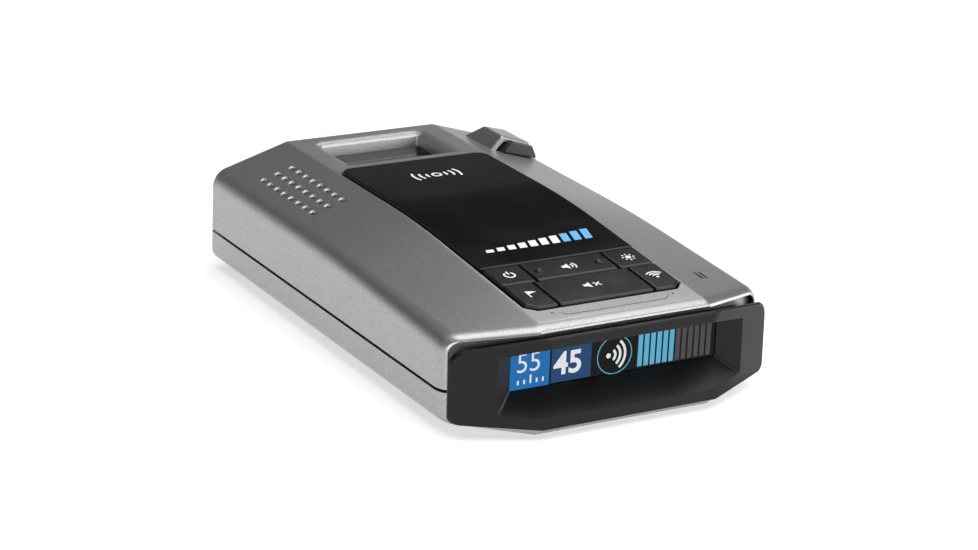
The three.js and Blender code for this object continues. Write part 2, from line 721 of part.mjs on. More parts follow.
function hornAntenna() {
  const horn = loft([
    rectRing(6.5, [7.5, 15.5], HORN_THROAT_Y - 0.5),
    rectRing(17, [2.6, HORN_TOP], HORN_MOUTH_Y),
  ]);
  const bore = loft([
    rectRing(5, [9, 14], HORN_THROAT_Y),
    rectRing(15.8, [3.8, HORN_TOP - 1.2], HORN_MOUTH_Y + 0.01),
  ]);
  const cavityBlock = middleBox(12, [27, HORN_THROAT_Y], [4, 19]);
  return cut(join(horn, cavityBlock), bore);
}

function receiver() {
  place(detector, 'horn_antenna', hornAntenna(), 'cast');
  placeBlocks([
    ['microwave_board', 16.5, [25.6, 26.6], [3, 20.5], 'board'],
    ['microwave_shield', 13, [22.1, 25.2], [5, 19], 'steel'],
  ]);
}

// ---------------------------------------------------------------- laser sensors and end window
function lensDome(radius, depth) {
  const rim = depth * 0.4;
  const profile = [new THREE.Vector2(0, 0), new THREE.Vector2(radius, 0), new THREE.Vector2(radius, rim)];
  for (let i = 1; i <= 5; i += 1) {
    const angle = (Math.PI / 2) * (i / 5);
    profile.push(new THREE.Vector2(radius * Math.cos(angle), rim + (depth - rim) * Math.sin(angle)));
  }
  profile.at(-1).x = 0;
  return toSolid(new THREE.LatheGeometry(profile, 18));
}

function endWindow() {
  const inner = HALF_L - WALL;
  const pane = middleBox(END_WINDOW_HALF, [inner - 0.5, HALF_L - 0.15], END_WINDOW_Z);
  const flange = middleBox(END_WINDOW_HALF + 1, [inner - 1.3, inner - GAP], widened(END_WINDOW_Z, 1));
  return join(pane, flange);
}

// The hood's hollow drawn in towards its middle, so that the lens clears the hood.
function shrunkHollow() {
  const middle = new THREE.Vector2(33.5, 26);
  return HOOD_HOLLOW.map(([x, z]) => new THREE.Vector2(x, z).lerp(middle, 0.07).toArray());
}

function rearLens() {
  const block = prism(REAR_LENS_OUTLINE, 'y', [HOOD_FRONT - 2, HOOD_FRONT + 1.8]);
  const behindRim = middleBox(FAR, [HOOD_FRONT - GAP, FAR], [0, 60]);
  return cut(block, cut(behindRim, prism(shrunkHollow(), 'y', [0, FAR])));
}

function laserSensors() {
  place(detector, 'end_window', endWindow(), 'smoke');
  place(detector, 'front_laser_lens', lensDome(4.6, 4).translate([-24.8, 58, 15.2]), 'lens');
  place(detector, 'rear_laser_lens', rearLens(), 'gloss');
  placeBlocks([
    ['front_laser_sensor', [-29.5, -20.1], [50, 57.6], [ON_BOARD, 19.6], 'steel'],
    ['rear_laser_sensor', [31, 37], [47.3, 51.5], [22.6, 27.4], 'steel'],
  ]);
}

// ---------------------------------------------------------------- speaker
const SPEAKER_X = -29.4;
const SPEAKER = new THREE.Group();
SPEAKER.position.set(SPEAKER_X, SPEAKER_Y, facet(SPEAKER_X, SPEAKER_Y));
SPEAKER.rotation.y = -facetTilt(SPEAKER_Y);
detector.add(SPEAKER);

function racetrack(halfWidth, halfLength, zSpan) {
  const radius = halfWidth - 0.5;
  const outline = mirrorOutline([[halfWidth, -halfLength, radius], [halfWidth, halfLength, radius]]);
  return prism(rounded(outline, 5), 'z', zSpan);
}

function speaker() {
  const gasket = cut(racetrack(8.4, 15, [-3.7, -2.7]), racetrack(6.8, 13.4, [-5, 0]));
  const rim = racetrack(8.4, 15, [-5.2, -4]);
  const basket = racetrack(6, 11, [-7.6, -5]);
  const magnet = cylinder(5, 'z', [-9.4, -7.5], [0, 0]);
  const driver = join(rim, basket, magnet);
  place(SPEAKER, 'speaker_gasket', gasket, 'foam');
  place(SPEAKER, 'speaker', driver, 'paper');
}

// ---------------------------------------------------------------- main board and what it carries
function mainBoard() {
  const half = [
    [37, -49],
    [37, 56.5],
    [19.5, 56.5],
    [19.5, 21],
  ];
  const board = prism(mirrorOutline(half), 'z', [BOARD_TOP - BOARD, BOARD_TOP]);
  const spots = SCREW_SPOTS.filter(([, y]) => onBoard(y));
  return cut(board, ...spots.map((spot) => cylinder(1.6, 'z', [0, 20], spot, 12)));
}

function powerJack() {
  const housing = box([25, 38.2], [24, 37.7], [ON_BOARD, 19.2]);
  return cut(housing, box([27, 45], POWER_SOCKET.y, POWER_SOCKET.z));
}

function earphoneJack() {
  const housing = box([28, 38.5], widened([EARPHONE.y, EARPHONE.y], 3), [ON_BOARD, EARPHONE.z + 3]);
  return cut(housing, cylinder(1.8, 'x', [29.5, 45], [EARPHONE.y, EARPHONE.z], 14));
}

function usbPort() {
  const hollow = box([33, 45], widened(USB.y, -0.4), widened(USB.z, -0.4));
  return cut(box([32, 38.6], USB.y, USB.z), hollow);
}

function electronics() {
  place(detector, 'main_board', mainBoard(), 'board');
  place(detector, 'supply_capacitor', cylinder(4, 'z', [ON_BOARD, 18.5], [27, -4], 18), 'gloss');
  place(detector, 'power_jack', powerJack(), 'black');
  place(detector, 'earphone_jack', earphoneJack(), 'black');
  place(detector, 'usb_port', usbPort(), 'steel');
  placeBlocks([
    ['processor_shield', 12, [-36, -10], [ON_BOARD, 12.6], 'steel'],
    ['wireless_module', [-31, -17], [-30, -14], [ON_BOARD, 12.2], 'steel'],
    ['gps_board', 11, [-2, 20], [21, 22], 'board'],
    ['gps_antenna', 9, [0, 18], [22.3, 26.3], 'ceramic'],
    ['light_sensor', [28.4, 31.4], [-48.2, -45.8], [ON_BOARD, 11.1], 'black'],
    ['light_pipe', [28.2, 31.6], [-48.1, -45.9], [11.4, 21.6], 'clear'],
  ]);
}

// ---------------------------------------------------------------- assembly
place(detector, 'upper_case', upperCase(), 'silver');
place(detector, 'lower_case', lowerCase(), 'silver');
SCREW_SPOTS.forEach((spot, i) => place(detector, `case_screw_${i + 1}`, caseScrew(spot), 'steel'));
display();
keypad();
mountPocket();
receiver();
laserSensors();
speaker();
electronics();

export default detector;
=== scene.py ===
import json
import math

import bmesh
import bpy
from mathutils import Matrix, Vector

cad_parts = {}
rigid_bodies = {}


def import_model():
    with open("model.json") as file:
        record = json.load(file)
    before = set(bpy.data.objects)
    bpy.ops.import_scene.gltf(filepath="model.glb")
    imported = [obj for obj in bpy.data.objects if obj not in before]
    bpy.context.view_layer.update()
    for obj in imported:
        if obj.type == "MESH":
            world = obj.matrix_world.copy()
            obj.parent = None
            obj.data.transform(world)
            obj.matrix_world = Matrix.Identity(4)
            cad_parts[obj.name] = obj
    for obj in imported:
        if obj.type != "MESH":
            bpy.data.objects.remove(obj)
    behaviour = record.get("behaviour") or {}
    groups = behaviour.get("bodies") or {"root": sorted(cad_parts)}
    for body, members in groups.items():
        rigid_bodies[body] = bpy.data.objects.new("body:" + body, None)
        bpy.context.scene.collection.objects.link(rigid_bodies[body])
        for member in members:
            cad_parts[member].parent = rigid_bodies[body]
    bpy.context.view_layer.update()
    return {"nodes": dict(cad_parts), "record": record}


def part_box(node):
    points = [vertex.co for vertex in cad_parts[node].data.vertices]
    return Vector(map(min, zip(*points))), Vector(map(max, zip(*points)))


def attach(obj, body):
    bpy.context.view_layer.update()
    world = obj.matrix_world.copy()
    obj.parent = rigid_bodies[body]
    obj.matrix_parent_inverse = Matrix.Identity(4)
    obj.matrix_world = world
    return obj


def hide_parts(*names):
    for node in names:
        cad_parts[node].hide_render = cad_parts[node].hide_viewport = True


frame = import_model()

# A windshield radar detector. Lengths are in millimetres until solid() and its like make meshes.
# X is the width, +Y the windshield end, -Y the display, +Z up, z = 0 the underside.
MM = 0.001
X, Y, Z = range(3)


def span(node, axis):
    """A CAD node's lowest and highest coordinate along one axis."""
    low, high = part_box(node)
    return low[axis] / MM, high[axis] / MM


# ---- driving dimensions
HALF_W = span("lower_case", X)[1]
NOSE, REAR = span("lower_case", Y)
PANEL_TOP = span("top_panel", Z)[1]
PANEL_HALF = span("top_panel", X)[1]
PANEL_FRONT, PANEL_REAR = span("top_panel", Y)
SEAM = (span("lower_case", Z)[1] + span("upper_case", Z)[0]) / 2
BEZEL_BOTTOM, BEZEL_TOP = span("front_bezel", Z)
BEZEL_FRONT = span("front_bezel", Y)[0]
BEZEL_HALF = span("front_bezel", X)[1]
WINDOW = span("display_window", Y)[0]
KEYPAD_FRONT = span("mute_key", Y)[0]

GAP = 0.3  # clearance between pieces that meet
WALL = 1.8
FAR = 90.0  # beyond the object, for cutters

# The panel's top is level, then an arc, then a straight slope down to the nose.
ARC_START = 12.0
ARC_END = -16.0
SLOPE = 0.095
SLOPE_ANGLE = math.atan(SLOPE)
PANEL_PROUD = 0.65

# The case's section. At the shoulder it is drawn in less in height than in width.
FOLD = 22.8  # half-width of the flat underside and of the nose's straight middle
PLATEAU_HALF = 21.4
SHOULDER_REAR = 24.6
SHOULDER_FALL = 0.5  # the share of the plateau's fall that the shoulder follows
SHOULDER_RADIUS = 4.5
SHOULDER_INSET = 0.7
KEEL_RISE = 2.5
KEEL_RADIUS = 3.0
PLATEAU_RADIUS = 3.0

# The nose and the rear end.
NOSE_SWEEP = 0.476  # how steeply the nose's sides run back
BEZEL_SWEEP = 0.445
NOSE_LEAN = 0.035
NOSE_BLEND = -40.0  # forward of here the mesh turns to follow the nose
LIP = 1.45  # how far the lip's rounding draws the outline in, and how deep it is along Y
LIP_DEPTH = 2.8
LIP_BELOW = 0.1  # the share of the lip's drawing in that the underside has
FACE_BELOW = 1.3  # how high the nose's plain face reaches under the bezel
REAR_CORNER = 2.1
REAR_EDGE = 0.8

# Where a long mesh has a row of points along Y, so that it can follow the panel's arc.
STATIONS = [45.0, 30.0, ARC_START] + [float(y) for y in range(10, -16, -2)] + [ARC_END, -24.0, -32.0]


def panel_top(y):
    """The height of the panel's top, and of the key tops, at y."""
    along = min(max(ARC_START - y, 0.0), ARC_START - ARC_END)
    beyond = max(ARC_END - y, 0.0)
    return PANEL_TOP - SLOPE * along**2 / (2 * (ARC_START - ARC_END)) - SLOPE * beyond


def plateau(y):
    """The height of the case's flat middle, which the panel stands proud of."""
    return panel_top(y) - PANEL_PROUD


def shoulder(y):
    """The height at which a side wall and its facet would meet without their rounding."""
    return SHOULDER_REAR - SHOULDER_FALL * (PANEL_TOP - panel_top(y))


def facet_slope(y):
    return (plateau(y) - shoulder(y)) / (HALF_W - PLATEAU_HALF)


def facet(x, y):
    """The height of a side facet at (x, y)."""
    return shoulder(y) + facet_slope(y) * (HALF_W - abs(x))


# ---- outlines
def arc_points(corner, before, after, radius, steps):
    """The arc that rounds one corner, from the side of before to the side of after."""
    corner = Vector(corner)
    back = (Vector(before) - corner).normalized()
    ahead = (Vector(after) - corner).normalized()
    half = back.angle(ahead) / 2
    centre = corner + (back + ahead).normalized() * radius / math.sin(half)
    start = corner + back * radius / math.tan(half) - centre
    end = corner + ahead * radius / math.tan(half) - centre
    turn = math.atan2(start.x * end.y - start.y * end.x, start.dot(end))
    spokes = [Matrix.Rotation(turn * k / steps, 2) @ start for k in range(steps + 1)]
    return [tuple(centre + spoke) for spoke in spokes]


def rounded(corners, closed=True):
    """Points along corners (a, b) or (a, b, radius, steps). The closed argument is not used."""
    points = []
    for i, (a, b, *rounding) in enumerate(corners):
        if rounding:
            before = corners[i - 1][:2]
            after = corners[(i + 1) % len(corners)][:2]
            points += arc_points((a, b), before, after, *rounding)
        else:
            points.append((a, b))
    return points


def mirrored(half):
    """A right-hand half outline, from its start on to its mirror image."""
    return half + [(-a, b, *rest) for a, b, *rest in reversed(half)]


def rectangle(a_span, b_span, radius, steps=5):
    (a0, a1), (b0, b1) = a_span, b_span
    corners = [(a0, b0), (a1, b0), (a1, b1), (a0, b1)]
    return rounded([(a, b, radius, steps) for a, b in corners])


def circle(radius, middle=(0.0, 0.0), count=24):
    turns = [2 * math.pi * k / count for k in range(count)]
    return [(middle[0] + radius * math.cos(t), middle[1] + radius * math.sin(t)) for t in turns]


def anticlockwise(outline):
    pairs = zip(outline, outline[1:] + outline[:1])
    doubled_area = sum(a * d - b * c for (a, b), (c, d) in pairs)
    return outline if doubled_area > 0 else outline[::-1]


def softened(corners, radius, steps=3):
    return rounded([(a, b, radius, steps) for a, b in anticlockwise(corners)])


def grown(outline, distance):
    """An anticlockwise outline moved outwards by a distance."""
    moved = []
    for i, point in enumerate(outline):
        here = Vector(point)
        along_in = (here - Vector(outline[i - 1])).normalized()
        along_out = (Vector(outline[(i + 1) % len(outline)]) - here).normalized()
        normal = Vector((along_in.y + along_out.y, -along_in.x - along_out.x)).normalized()
        reach = distance / normal.dot(Vector((along_in.y, -along_in.x)))
        moved.append(tuple(here + normal * reach))
    return moved


# ---- meshes
def solid(rings, looped=False):
    """A closed mesh through rings of points with equal counts, capped at both ends or looped."""
    mesh = bmesh.new()
    rows = [[mesh.verts.new(Vector(point) * MM) for point in ring] for ring in rings]
    following = rows[1:] + rows[:1] if looped else rows[1:]
    for low, high in zip(rows, following):
        for i in range(len(low)):
            mesh.faces.new((low[i - 1], low[i], high[i], high[i - 1]))
    if not looped:
        mesh.faces.new(rows[0])
        mesh.faces.new(rows[-1])
    bmesh.ops.recalc_face_normals(mesh, faces=mesh.faces)
    return mesh


def stack(outline, levels):
    """The outline grown by each level's first value at the height that is its second."""
    return solid([[(a, b, height) for a, b in grown(outline, by)] for by, height in levels])


RIM_MARGIN = 0.08


def rim(radius, height, steps=4):
    """Levels that round an upper edge over. A narrow flat margin keeps the top's shading flat."""
    angles = [math.pi / 2 * k / steps for k in range(steps + 1)]
    edge = [(radius * (math.cos(t) - 1), height - radius * (1 - math.sin(t))) for t in angles]
    return edge + [(-radius - RIM_MARGIN, height)]


def moved(mesh, matrix):
    """Turns and shifts a mesh. The matrix's shift is in millimetres."""
    matrix = matrix.copy()
    matrix.translation *= MM
    bmesh.ops.transform(mesh, matrix=matrix, verts=mesh.verts)
    bmesh.ops.recalc_face_normals(mesh, faces=mesh.faces)
    return mesh


def draped(mesh, height):
    """Bends a flat mesh to follow the height function along Y."""
    for y in STATIONS:
        geometry = mesh.verts[:] + mesh.edges[:] + mesh.faces[:]
        bmesh.ops.bisect_plane(mesh, geom=geometry, plane_co=(0, y * MM, 0), plane_no=(0, 1, 0))
    for vertex in mesh.verts:
        vertex.co.z += height(vertex.co.y / MM) * MM
    return mesh


def joined(meshes):
    """Several meshes as one."""
    whole = bmesh.new()
    for mesh in meshes:
        carrier = bpy.data.meshes.new("carrier")
        mesh.to_mesh(carrier)
        whole.from_mesh(carrier)
        bpy.data.meshes.remove(carrier)
    return whole


# Local (a, b, height) to the row frame, for outlines in (x, z), seen along Y, and (y, z), along X.
ALONG_Y = Matrix(((1, 0, 0, 0), (0, 0, 1, 0), (0, 1, 0, 0), (0, 0, 0, 1)))
ALONG_X = Matrix(((0, 0, 1, 0), (1, 0, 0, 0), (0, 1, 0, 0), (0, 0, 0, 1)))


def as_object(name, mesh):
    data = bpy.data.meshes.new(name)
    mesh.to_mesh(data)
    obj = bpy.data.objects.new(name, data)
    bpy.context.scene.collection.objects.link(obj)
    return obj


def applied(obj):
    """Bakes an object's modifiers into its mesh."""
    graph = bpy.context.evaluated_depsgraph_get()
    data = bpy.data.meshes.new_from_object(obj.evaluated_get(graph))
    obj.modifiers.clear()
    obj.data = data
    return obj


def boolean(target, operation, meshes):
    """Adds the meshes to the target object, or takes them away."""
    group = bpy.data.collections.new("tools")
    bpy.context.scene.collection.children.link(group)
    for mesh in meshes:
        tool = bpy.data.objects.new("tool", bpy.data.meshes.new("tool"))
        mesh.to_mesh(tool.data)
        group.objects.link(tool)
    step = target.modifiers.new("boolean", "BOOLEAN")
    step.operation = operation
    step.solver = "EXACT"
    step.operand_type = "COLLECTION"
    step.collection = group
    applied(target)
    for tool in list(group.objects):
        bpy.data.objects.remove(tool)
    bpy.data.collections.remove(group)
    return target


def bevelled(obj, width, segments=3, angle=25.0):
    step = obj.modifiers.new("bevel", "BEVEL")
    step.width = width * MM
    step.segments = segments
    step.limit_method = "ANGLE"
    step.angle_limit = math.radians(angle)
    return applied(obj)


SHARP = math.radians(32.0)
MERGE = 2e-6  # metres


def finished(obj, material, body="case", replaces=()):
    """Shades a piece, gives it its material and ties it to the frame."""
    mesh = bmesh.new()
    mesh.from_mesh(obj.data)
    bmesh.ops.remove_doubles(mesh, verts=mesh.verts, dist=MERGE)
    bmesh.ops.dissolve_degenerate(mesh, edges=mesh.edges, dist=MERGE)
    for face in mesh.faces:
        face.smooth = True
    for edge in mesh.edges:
        edge.smooth = len(edge.link_faces) == 2 and edge.calc_face_angle(0.0) < SHARP
    mesh.to_mesh(obj.data)
    obj.data.materials.clear()
    obj.data.materials.append(material)
    normals = obj.modifiers.new("normals", "WEIGHTED_NORMAL")
    normals.keep_sharp = True
    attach(obj, body)
    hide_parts(*replaces)
    return obj


def piece(name, mesh, material, body="case", replaces=()):
    return finished(as_object(name, mesh), material, body, replaces)


# ---- camera
def add_camera():
    """The camera of the photograph's view: to the left of the display end, and above."""
    right = Vector((0.86627, -0.49768, 0.04339))
    up = Vector((0.13140, 0.31079, 0.94135))
    back = Vector((-0.48198, -0.80977, 0.33462))
    camera = bpy.data.objects.new("camera", bpy.data.cameras.new("camera"))
    camera.matrix_world = Matrix((right, up, back)).transposed().to_4x4()
    camera.location = (-0.32187, -0.54279, 0.23753)
    camera.data.lens = 102.47
    camera.data.sensor_width = 36.0
    camera.data.clip_start = 0.01
    bpy.context.scene.collection.objects.link(camera)
    bpy.context.scene.camera = camera


add_camera()


# ---- node materials
def new_material(name, **sockets):
    """A Principled material with constant socket values, and its node tree."""
    material = bpy.data.materials.new(name)
    material.use_nodes = True
    shader = material.node_tree.nodes["Principled BSDF"]
    for socket, value in sockets.items():
        shader.inputs[socket.replace("_", " ")].default_value = value
    return material


def grey(value, warmth=0.0):
    return (value * (1 + warmth), value, value * (1 - warmth), 1.0)


def node(material, kind, **settings):
    made = material.node_tree.nodes.new(kind)
    for key, value in settings.items():
        setattr(made, key, value)
    return made


def place(material, texture):
    """Puts a texture in the row frame, so its scale is in features per metre."""
    where = node(material, "ShaderNodeTexCoord")
    material.node_tree.links.new(where.outputs["Object"], texture.inputs["Vector"])


def noise(material, scale, detail=3.0, stretch=(1, 1, 1)):
    """Noise in the row frame, stretched along the axes."""
    mapping = node(material, "ShaderNodeMapping")
    mapping.inputs["Scale"].default_value = stretch
    texture = node(material, "ShaderNodeTexNoise")
    texture.inputs["Scale"].default_value = scale
    texture.inputs["Detail"].default_value = detail
    place(material, mapping)
    material.node_tree.links.new(mapping.outputs["Vector"], texture.inputs["Vector"])
    return texture.outputs["Fac"]


def ramp(material, factor, stops):
    """A colour ramp from a factor: stops are (position, colour). A world serves as a material."""
    made = node(material, "ShaderNodeValToRGB")
    elements = made.color_ramp.elements
    while len(elements) < len(stops):
        elements.new(0.5)
    for element, (position, color) in zip(elements, stops):
        element.position = position
        element.color = color
    material.node_tree.links.new(factor, made.inputs["Fac"])
    return made.outputs["Color"]


def feed(material, output, socket):
    shader = material.node_tree.nodes["Principled BSDF"]
    material.node_tree.links.new(output, shader.inputs[socket])


def bump(material, factor, strength, depth_mm):
    made = node(material, "ShaderNodeBump")
    made.inputs["Strength"].default_value = strength
    made.inputs["Distance"].default_value = depth_mm * MM
    material.node_tree.links.new(factor, made.inputs["Height"])
    feed(material, made.outputs["Normal"], "Normal")


def vary(material, factor, socket, low, high, start=0.3, end=0.7):
    """Spreads a factor over a socket between two grey or colour values."""
    if not isinstance(low, tuple):
        low = (low, low, low, 1.0)
        high = (high, high, high, 1.0)
    feed(material, ramp(material, factor, [(start, low), (end, high)]), socket)


def metallic_paint():
    """Warm grey paint with fine metal flake under a satin coat."""
    made = new_material("metallic_paint", Metallic=0.85, Coat_Weight=0.08, Coat_Roughness=0.3)
    flake = noise(made, 5200.0, 1.0)
    vary(made, flake, "Base Color", grey(0.27, 0.02), grey(0.43, 0.02), 0.36, 0.66)
    vary(made, noise(made, 2300.0, 2.0), "Roughness", 0.31, 0.40)
    bump(made, flake, 0.10, 0.02)
    return made


def moulded(name, shade, rough, grain=2600.0, relief=0.15, specular=0.5):
    """Moulded plastic with a fine spark-eroded grain and slightly uneven gloss."""
    made = new_material(name, Specular_IOR_Level=specular)
    texture = noise(made, grain, 2.0)
    vary(made, texture, "Base Color", grey(shade * 0.85), grey(shade * 1.15))
    vary(made, noise(made, 160.0, 4.0), "Roughness", rough * 0.92, rough * 1.08)
    bump(made, texture, relief, 0.02)
    return made


def glossy(name, shade, rough=0.06, specular=0.5):
    """Polished plastic: an even gloss with faint handling haze."""
    made = new_material(name, Specular_IOR_Level=specular)
    haze = noise(made, 70.0, 5.0)
    vary(made, haze, "Roughness", rough, rough * 1.6)
    vary(made, noise(made, 420.0), "Base Color", grey(shade * 0.92), grey(shade * 1.08))
    return made


def printed(name, color):
    """Screen-printed ink, very slightly uneven."""
    made = new_material(name, Roughness=0.45)
    worn = tuple(channel * 0.93 for channel in color[:3]) + (1.0,)
    vary(made, noise(made, 3000.0), "Base Color", worn, color)
    return made


def lit(name, color, strength):
    """A lit display segment with a fine dot structure."""
    made = new_material(name, Roughness=0.3, Emission_Strength=strength, Specular_IOR_Level=0.05)
    texture = noise(made, 2500.0, 1.0)
    dim = tuple(channel * 0.9 for channel in color[:3]) + (1.0,)
    vary(made, texture, "Emission Color", dim, color)
    vary(made, texture, "Base Color", grey(0.01), grey(0.02))
    return made


def sheet_metal(name, shade, rough, brush=(1, 12, 1)):
    """Bare metal with a grain that brush stretches into fine lines."""
    made = new_material(name, Metallic=1.0)
    grain = noise(made, 900.0, 4.0, brush)
    vary(made, grain, "Roughness", rough * 0.8, rough * 1.25)
    vary(made, grain, "Base Color", grey(shade * 0.92), grey(shade * 1.05))
    bump(made, grain, 0.08, 0.01)
    return made


def circuit_board():
    """Green solder mask over copper: tracks show as slightly lighter runs."""
    made = new_material("circuit_board", Roughness=0.35)
    tracks = node(made, "ShaderNodeTexWave", wave_type="BANDS", bands_direction="DIAGONAL")
    tracks.inputs["Scale"].default_value = 260.0
    tracks.inputs["Distortion"].default_value = 9.0
    tracks.inputs["Detail"].default_value = 1.0
    place(made, tracks)
    mask, track = (0.01, 0.07, 0.03, 1), (0.03, 0.16, 0.07, 1)
    vary(made, tracks.outputs["Fac"], "Base Color", mask, track, 0.55, 0.7)
    bump(made, tracks.outputs["Fac"], 0.2, 0.03)
    return made


def flex_film():
    """Amber film with copper runs along it."""
    made = new_material("flex_film", Roughness=0.3)
    runs = noise(made, 900.0, 0.0, (1.0, 0.02, 0.02))
    vary(made, runs, "Base Color", (0.30, 0.11, 0.02, 1), (0.62, 0.27, 0.06, 1), 0.45, 0.55)
    return made


def tinted(name, color, rough=0.03, clear=1.0):
    """Clear or tinted moulding."""
    made = new_material(name, Transmission_Weight=clear, IOR=1.46)
    vary(made, noise(made, 90.0, 4.0), "Roughness", rough, rough * 1.8)
    paler = tuple(min(channel * 1.06, 1.0) for channel in color[:3]) + (1.0,)
    vary(made, noise(made, 300.0), "Base Color", color, paler)
    return made


def woven(name, shade):
    """Open-weave cloth or foam: a regular fine relief."""
    made = new_material(name, Roughness=0.9)
    cells = node(made, "ShaderNodeTexVoronoi")
    cells.inputs["Scale"].default_value = 2200.0
    place(made, cells)
    vary(made, cells.outputs["Distance"], "Base Color", grey(shade * 1.4), grey(shade * 0.5))
    bump(made, cells.outputs["Distance"], 0.6, 0.1)
    return made


def gold():
    """Thin plating on contacts."""
    made = new_material("contact_gold", Metallic=1.0)
    grain = noise(made, 1500.0)
    vary(made, grain, "Base Color", (0.78, 0.52, 0.18, 1), (0.9, 0.66, 0.28, 1))
    vary(made, grain, "Roughness", 0.18, 0.32)
    return made


def ceramic():
    """The fired body of the satellite receiver's patch."""
    made = new_material("patch_ceramic", Roughness=0.7)
    grain = noise(made, 1800.0)
    vary(made, grain, "Base Color", (0.56, 0.48, 0.36, 1), (0.74, 0.66, 0.53, 1))
    bump(made, grain, 0.3, 0.05)
    return made


PAINT = metallic_paint()
BEZEL = moulded("bezel_plastic", 0.005, 0.32, relief=0.05, specular=0.22)
PANEL = glossy("panel_gloss", 0.003, 0.10, 0.25)
KEYS = moulded("key_plastic", 0.003, 0.18, relief=0.02, specular=0.36)
POCKET = glossy("pocket_plastic", 0.003, 0.07)
INNER = moulded("inner_plastic", 0.022, 0.55)
JACK = moulded("jack_plastic", 0.015, 0.4)
GLASS = glossy("window_glass", 0.002, 0.05, 0.1)
SCREEN = glossy("screen", 0.004, 0.1)
SMOKED = glossy("smoked_plastic", 0.028, 0.12)
LENS = tinted("sensor_lens", (0.35, 0.02, 0.03, 1.0))
LIGHT_GUIDE = tinted("light_guide", (0.9, 0.93, 0.93, 1.0))
WHITE_INK = printed("white_ink", grey(0.86))
BLUE_INK = printed("pale_blue_ink", (0.10, 0.42, 0.80, 1.0))
DARK_INK = printed("dark_ink", grey(0.02))
LABEL = printed("label_film", grey(0.045))
STEEL = sheet_metal("bright_metal", 0.62, 0.3)
CAST = sheet_metal("cast_metal", 0.5, 0.55, (1, 1, 1))
SWITCH = sheet_metal("switch_metal", 0.55, 0.32, (1, 1, 1))
SCREW = sheet_metal("screw_steel", 0.12, 0.35, (1, 1, 1))
FOAM = woven("foam", 0.02)
CONE = woven("speaker_cone", 0.018)
GOLD = gold()

# ---- case
NOSE_STEPS = 9
LIP_STEPS = 8
CORNER_STEPS = 9
GROOVE = 1.7  # how deep the gap between the lip and the bezel is
NOSE_WALL = 2.7  # the nose's inner face, behind its plane
SLEEVE_HOLE = [
    (FOLD, 4.3),
    (34.4, 5.6, 1.0, 8),
    (34.4, 19.6, 1.0, 12),
    (FOLD, 21.9),
    (PLATEAU_HALF, 21.9, 1.0, 4),
]


def section(y, inset=0.0, below=None):
    """The case's outline at y as (x, z) points, drawn in by inset, and at the underside by below."""
    below = inset if below is None else below
    edge = HALF_W - inset
    low = shoulder(y) - SHOULDER_INSET * inset
    high = plateau(y) - inset
    fold = high - (high - low) * (FOLD - PLATEAU_HALF) / (edge - PLATEAU_HALF)
    half = [
        (FOLD, below),
        (edge, KEEL_RISE + below, KEEL_RADIUS - inset / 2, 8),
        (edge, low, SHOULDER_RADIUS - inset, 12),
        (FOLD, fold),
        (PLATEAU_HALF, high, PLATEAU_RADIUS - inset / 2, 4),
    ]
    return rounded(mirrored(half))


def nose_back(x, z, sweep=NOSE_SWEEP):
    """How far the nose's plane lies behind its foremost line at (x, z)."""
    return NOSE_LEAN * z + sweep * max(0.0, abs(x) - FOLD)


def swept(y, share, inset, below=None):
    """A ring of the case that follows the nose's plane by the given share."""
    ring = []
    for i, (x, z) in enumerate(section(y, inset, below)):
        back = y + share * nose_back(x, z)
        x, z = section(back, inset, below)[i]
        ring.append((x, back, z))
    return ring


def rear_ring(angle, inset):
    """A ring round the rear end's corners: angle 0 at the side walls, a quarter turn at the end."""
    corner = REAR_CORNER - inset
    edge = max(REAR_EDGE - inset, GAP)
    y = REAR - inset - corner * (1 - math.sin(angle))
    narrow = 1 - corner * (1 - math.cos(angle)) / (HALF_W - inset)
    from_end = REAR - inset - y
    drop = edge - math.sqrt(max(edge**2 - max(edge - from_end, 0.0) ** 2, 0.0))
    outline = section(y, inset)
    low = min(z for _, z in outline)
    high = max(z for _, z in outline)
    squeeze = 1 - 2 * drop / (high - low)
    return [(x * narrow, y, low + drop + (z - low) * squeeze) for x, z in outline]


def skin_rings(inset, front):
    """Rings of the case's skin from the rear end to a front ring parallel to the nose."""
    angles = [math.pi / 2 * k / CORNER_STEPS for k in range(CORNER_STEPS, -1, -1)]
    rings = [rear_ring(angle, inset) for angle in angles]
    rings += [[(x, y, z) for x, z in section(y, inset)] for y in STATIONS]
    for k in range(NOSE_STEPS + 1):
        share = k / NOSE_STEPS
        rings.append(swept(NOSE_BLEND + share * (front - NOSE_BLEND), share, inset))
    return rings


def on_nose(outline, depth, sweep=NOSE_SWEEP, plane=NOSE):
    return [(x, plane + depth + nose_back(x, z, sweep), z) for x, z in outline]


def shell():
    """The whole case as one wall: outer skin, rounded lip, groove, sleeve hole, inner skin."""
    angles = [math.pi / 2 * k / LIP_STEPS for k in range(1, LIP_STEPS + 1)]
    lip = []
    for t in angles:
        inset = LIP * (1 - math.cos(t))
        lip.append(swept(NOSE + LIP_DEPTH * (1 - math.sin(t)), 1.0, inset, LIP_BELOW * inset))
    face = [swept(NOSE, 1.0, LIP, FACE_BELOW)]
    groove = [swept(NOSE + GROOVE, 1.0, LIP + 0.05, FACE_BELOW + 0.05)]
    hole = [on_nose(rounded(mirrored(SLEEVE_HOLE)), depth) for depth in (GROOVE, NOSE_WALL)]
    inside = skin_rings(WALL, NOSE + NOSE_WALL)[::-1]
    return solid(skin_rings(0.0, NOSE + LIP_DEPTH) + lip + face + groove + hole + inside)


def block(x_span, y_span, z_span):
    return stack(rectangle(x_span, y_span, 0.01, 1), [(0, z_span[0]), (0, z_span[1])])


# Screws, in the case's four corners.
SCREWS = [f"case_screw_{k}" for k in range(1, 5)]
SCREW_SEAT = 3.5
SCREW_BORE = 2.9


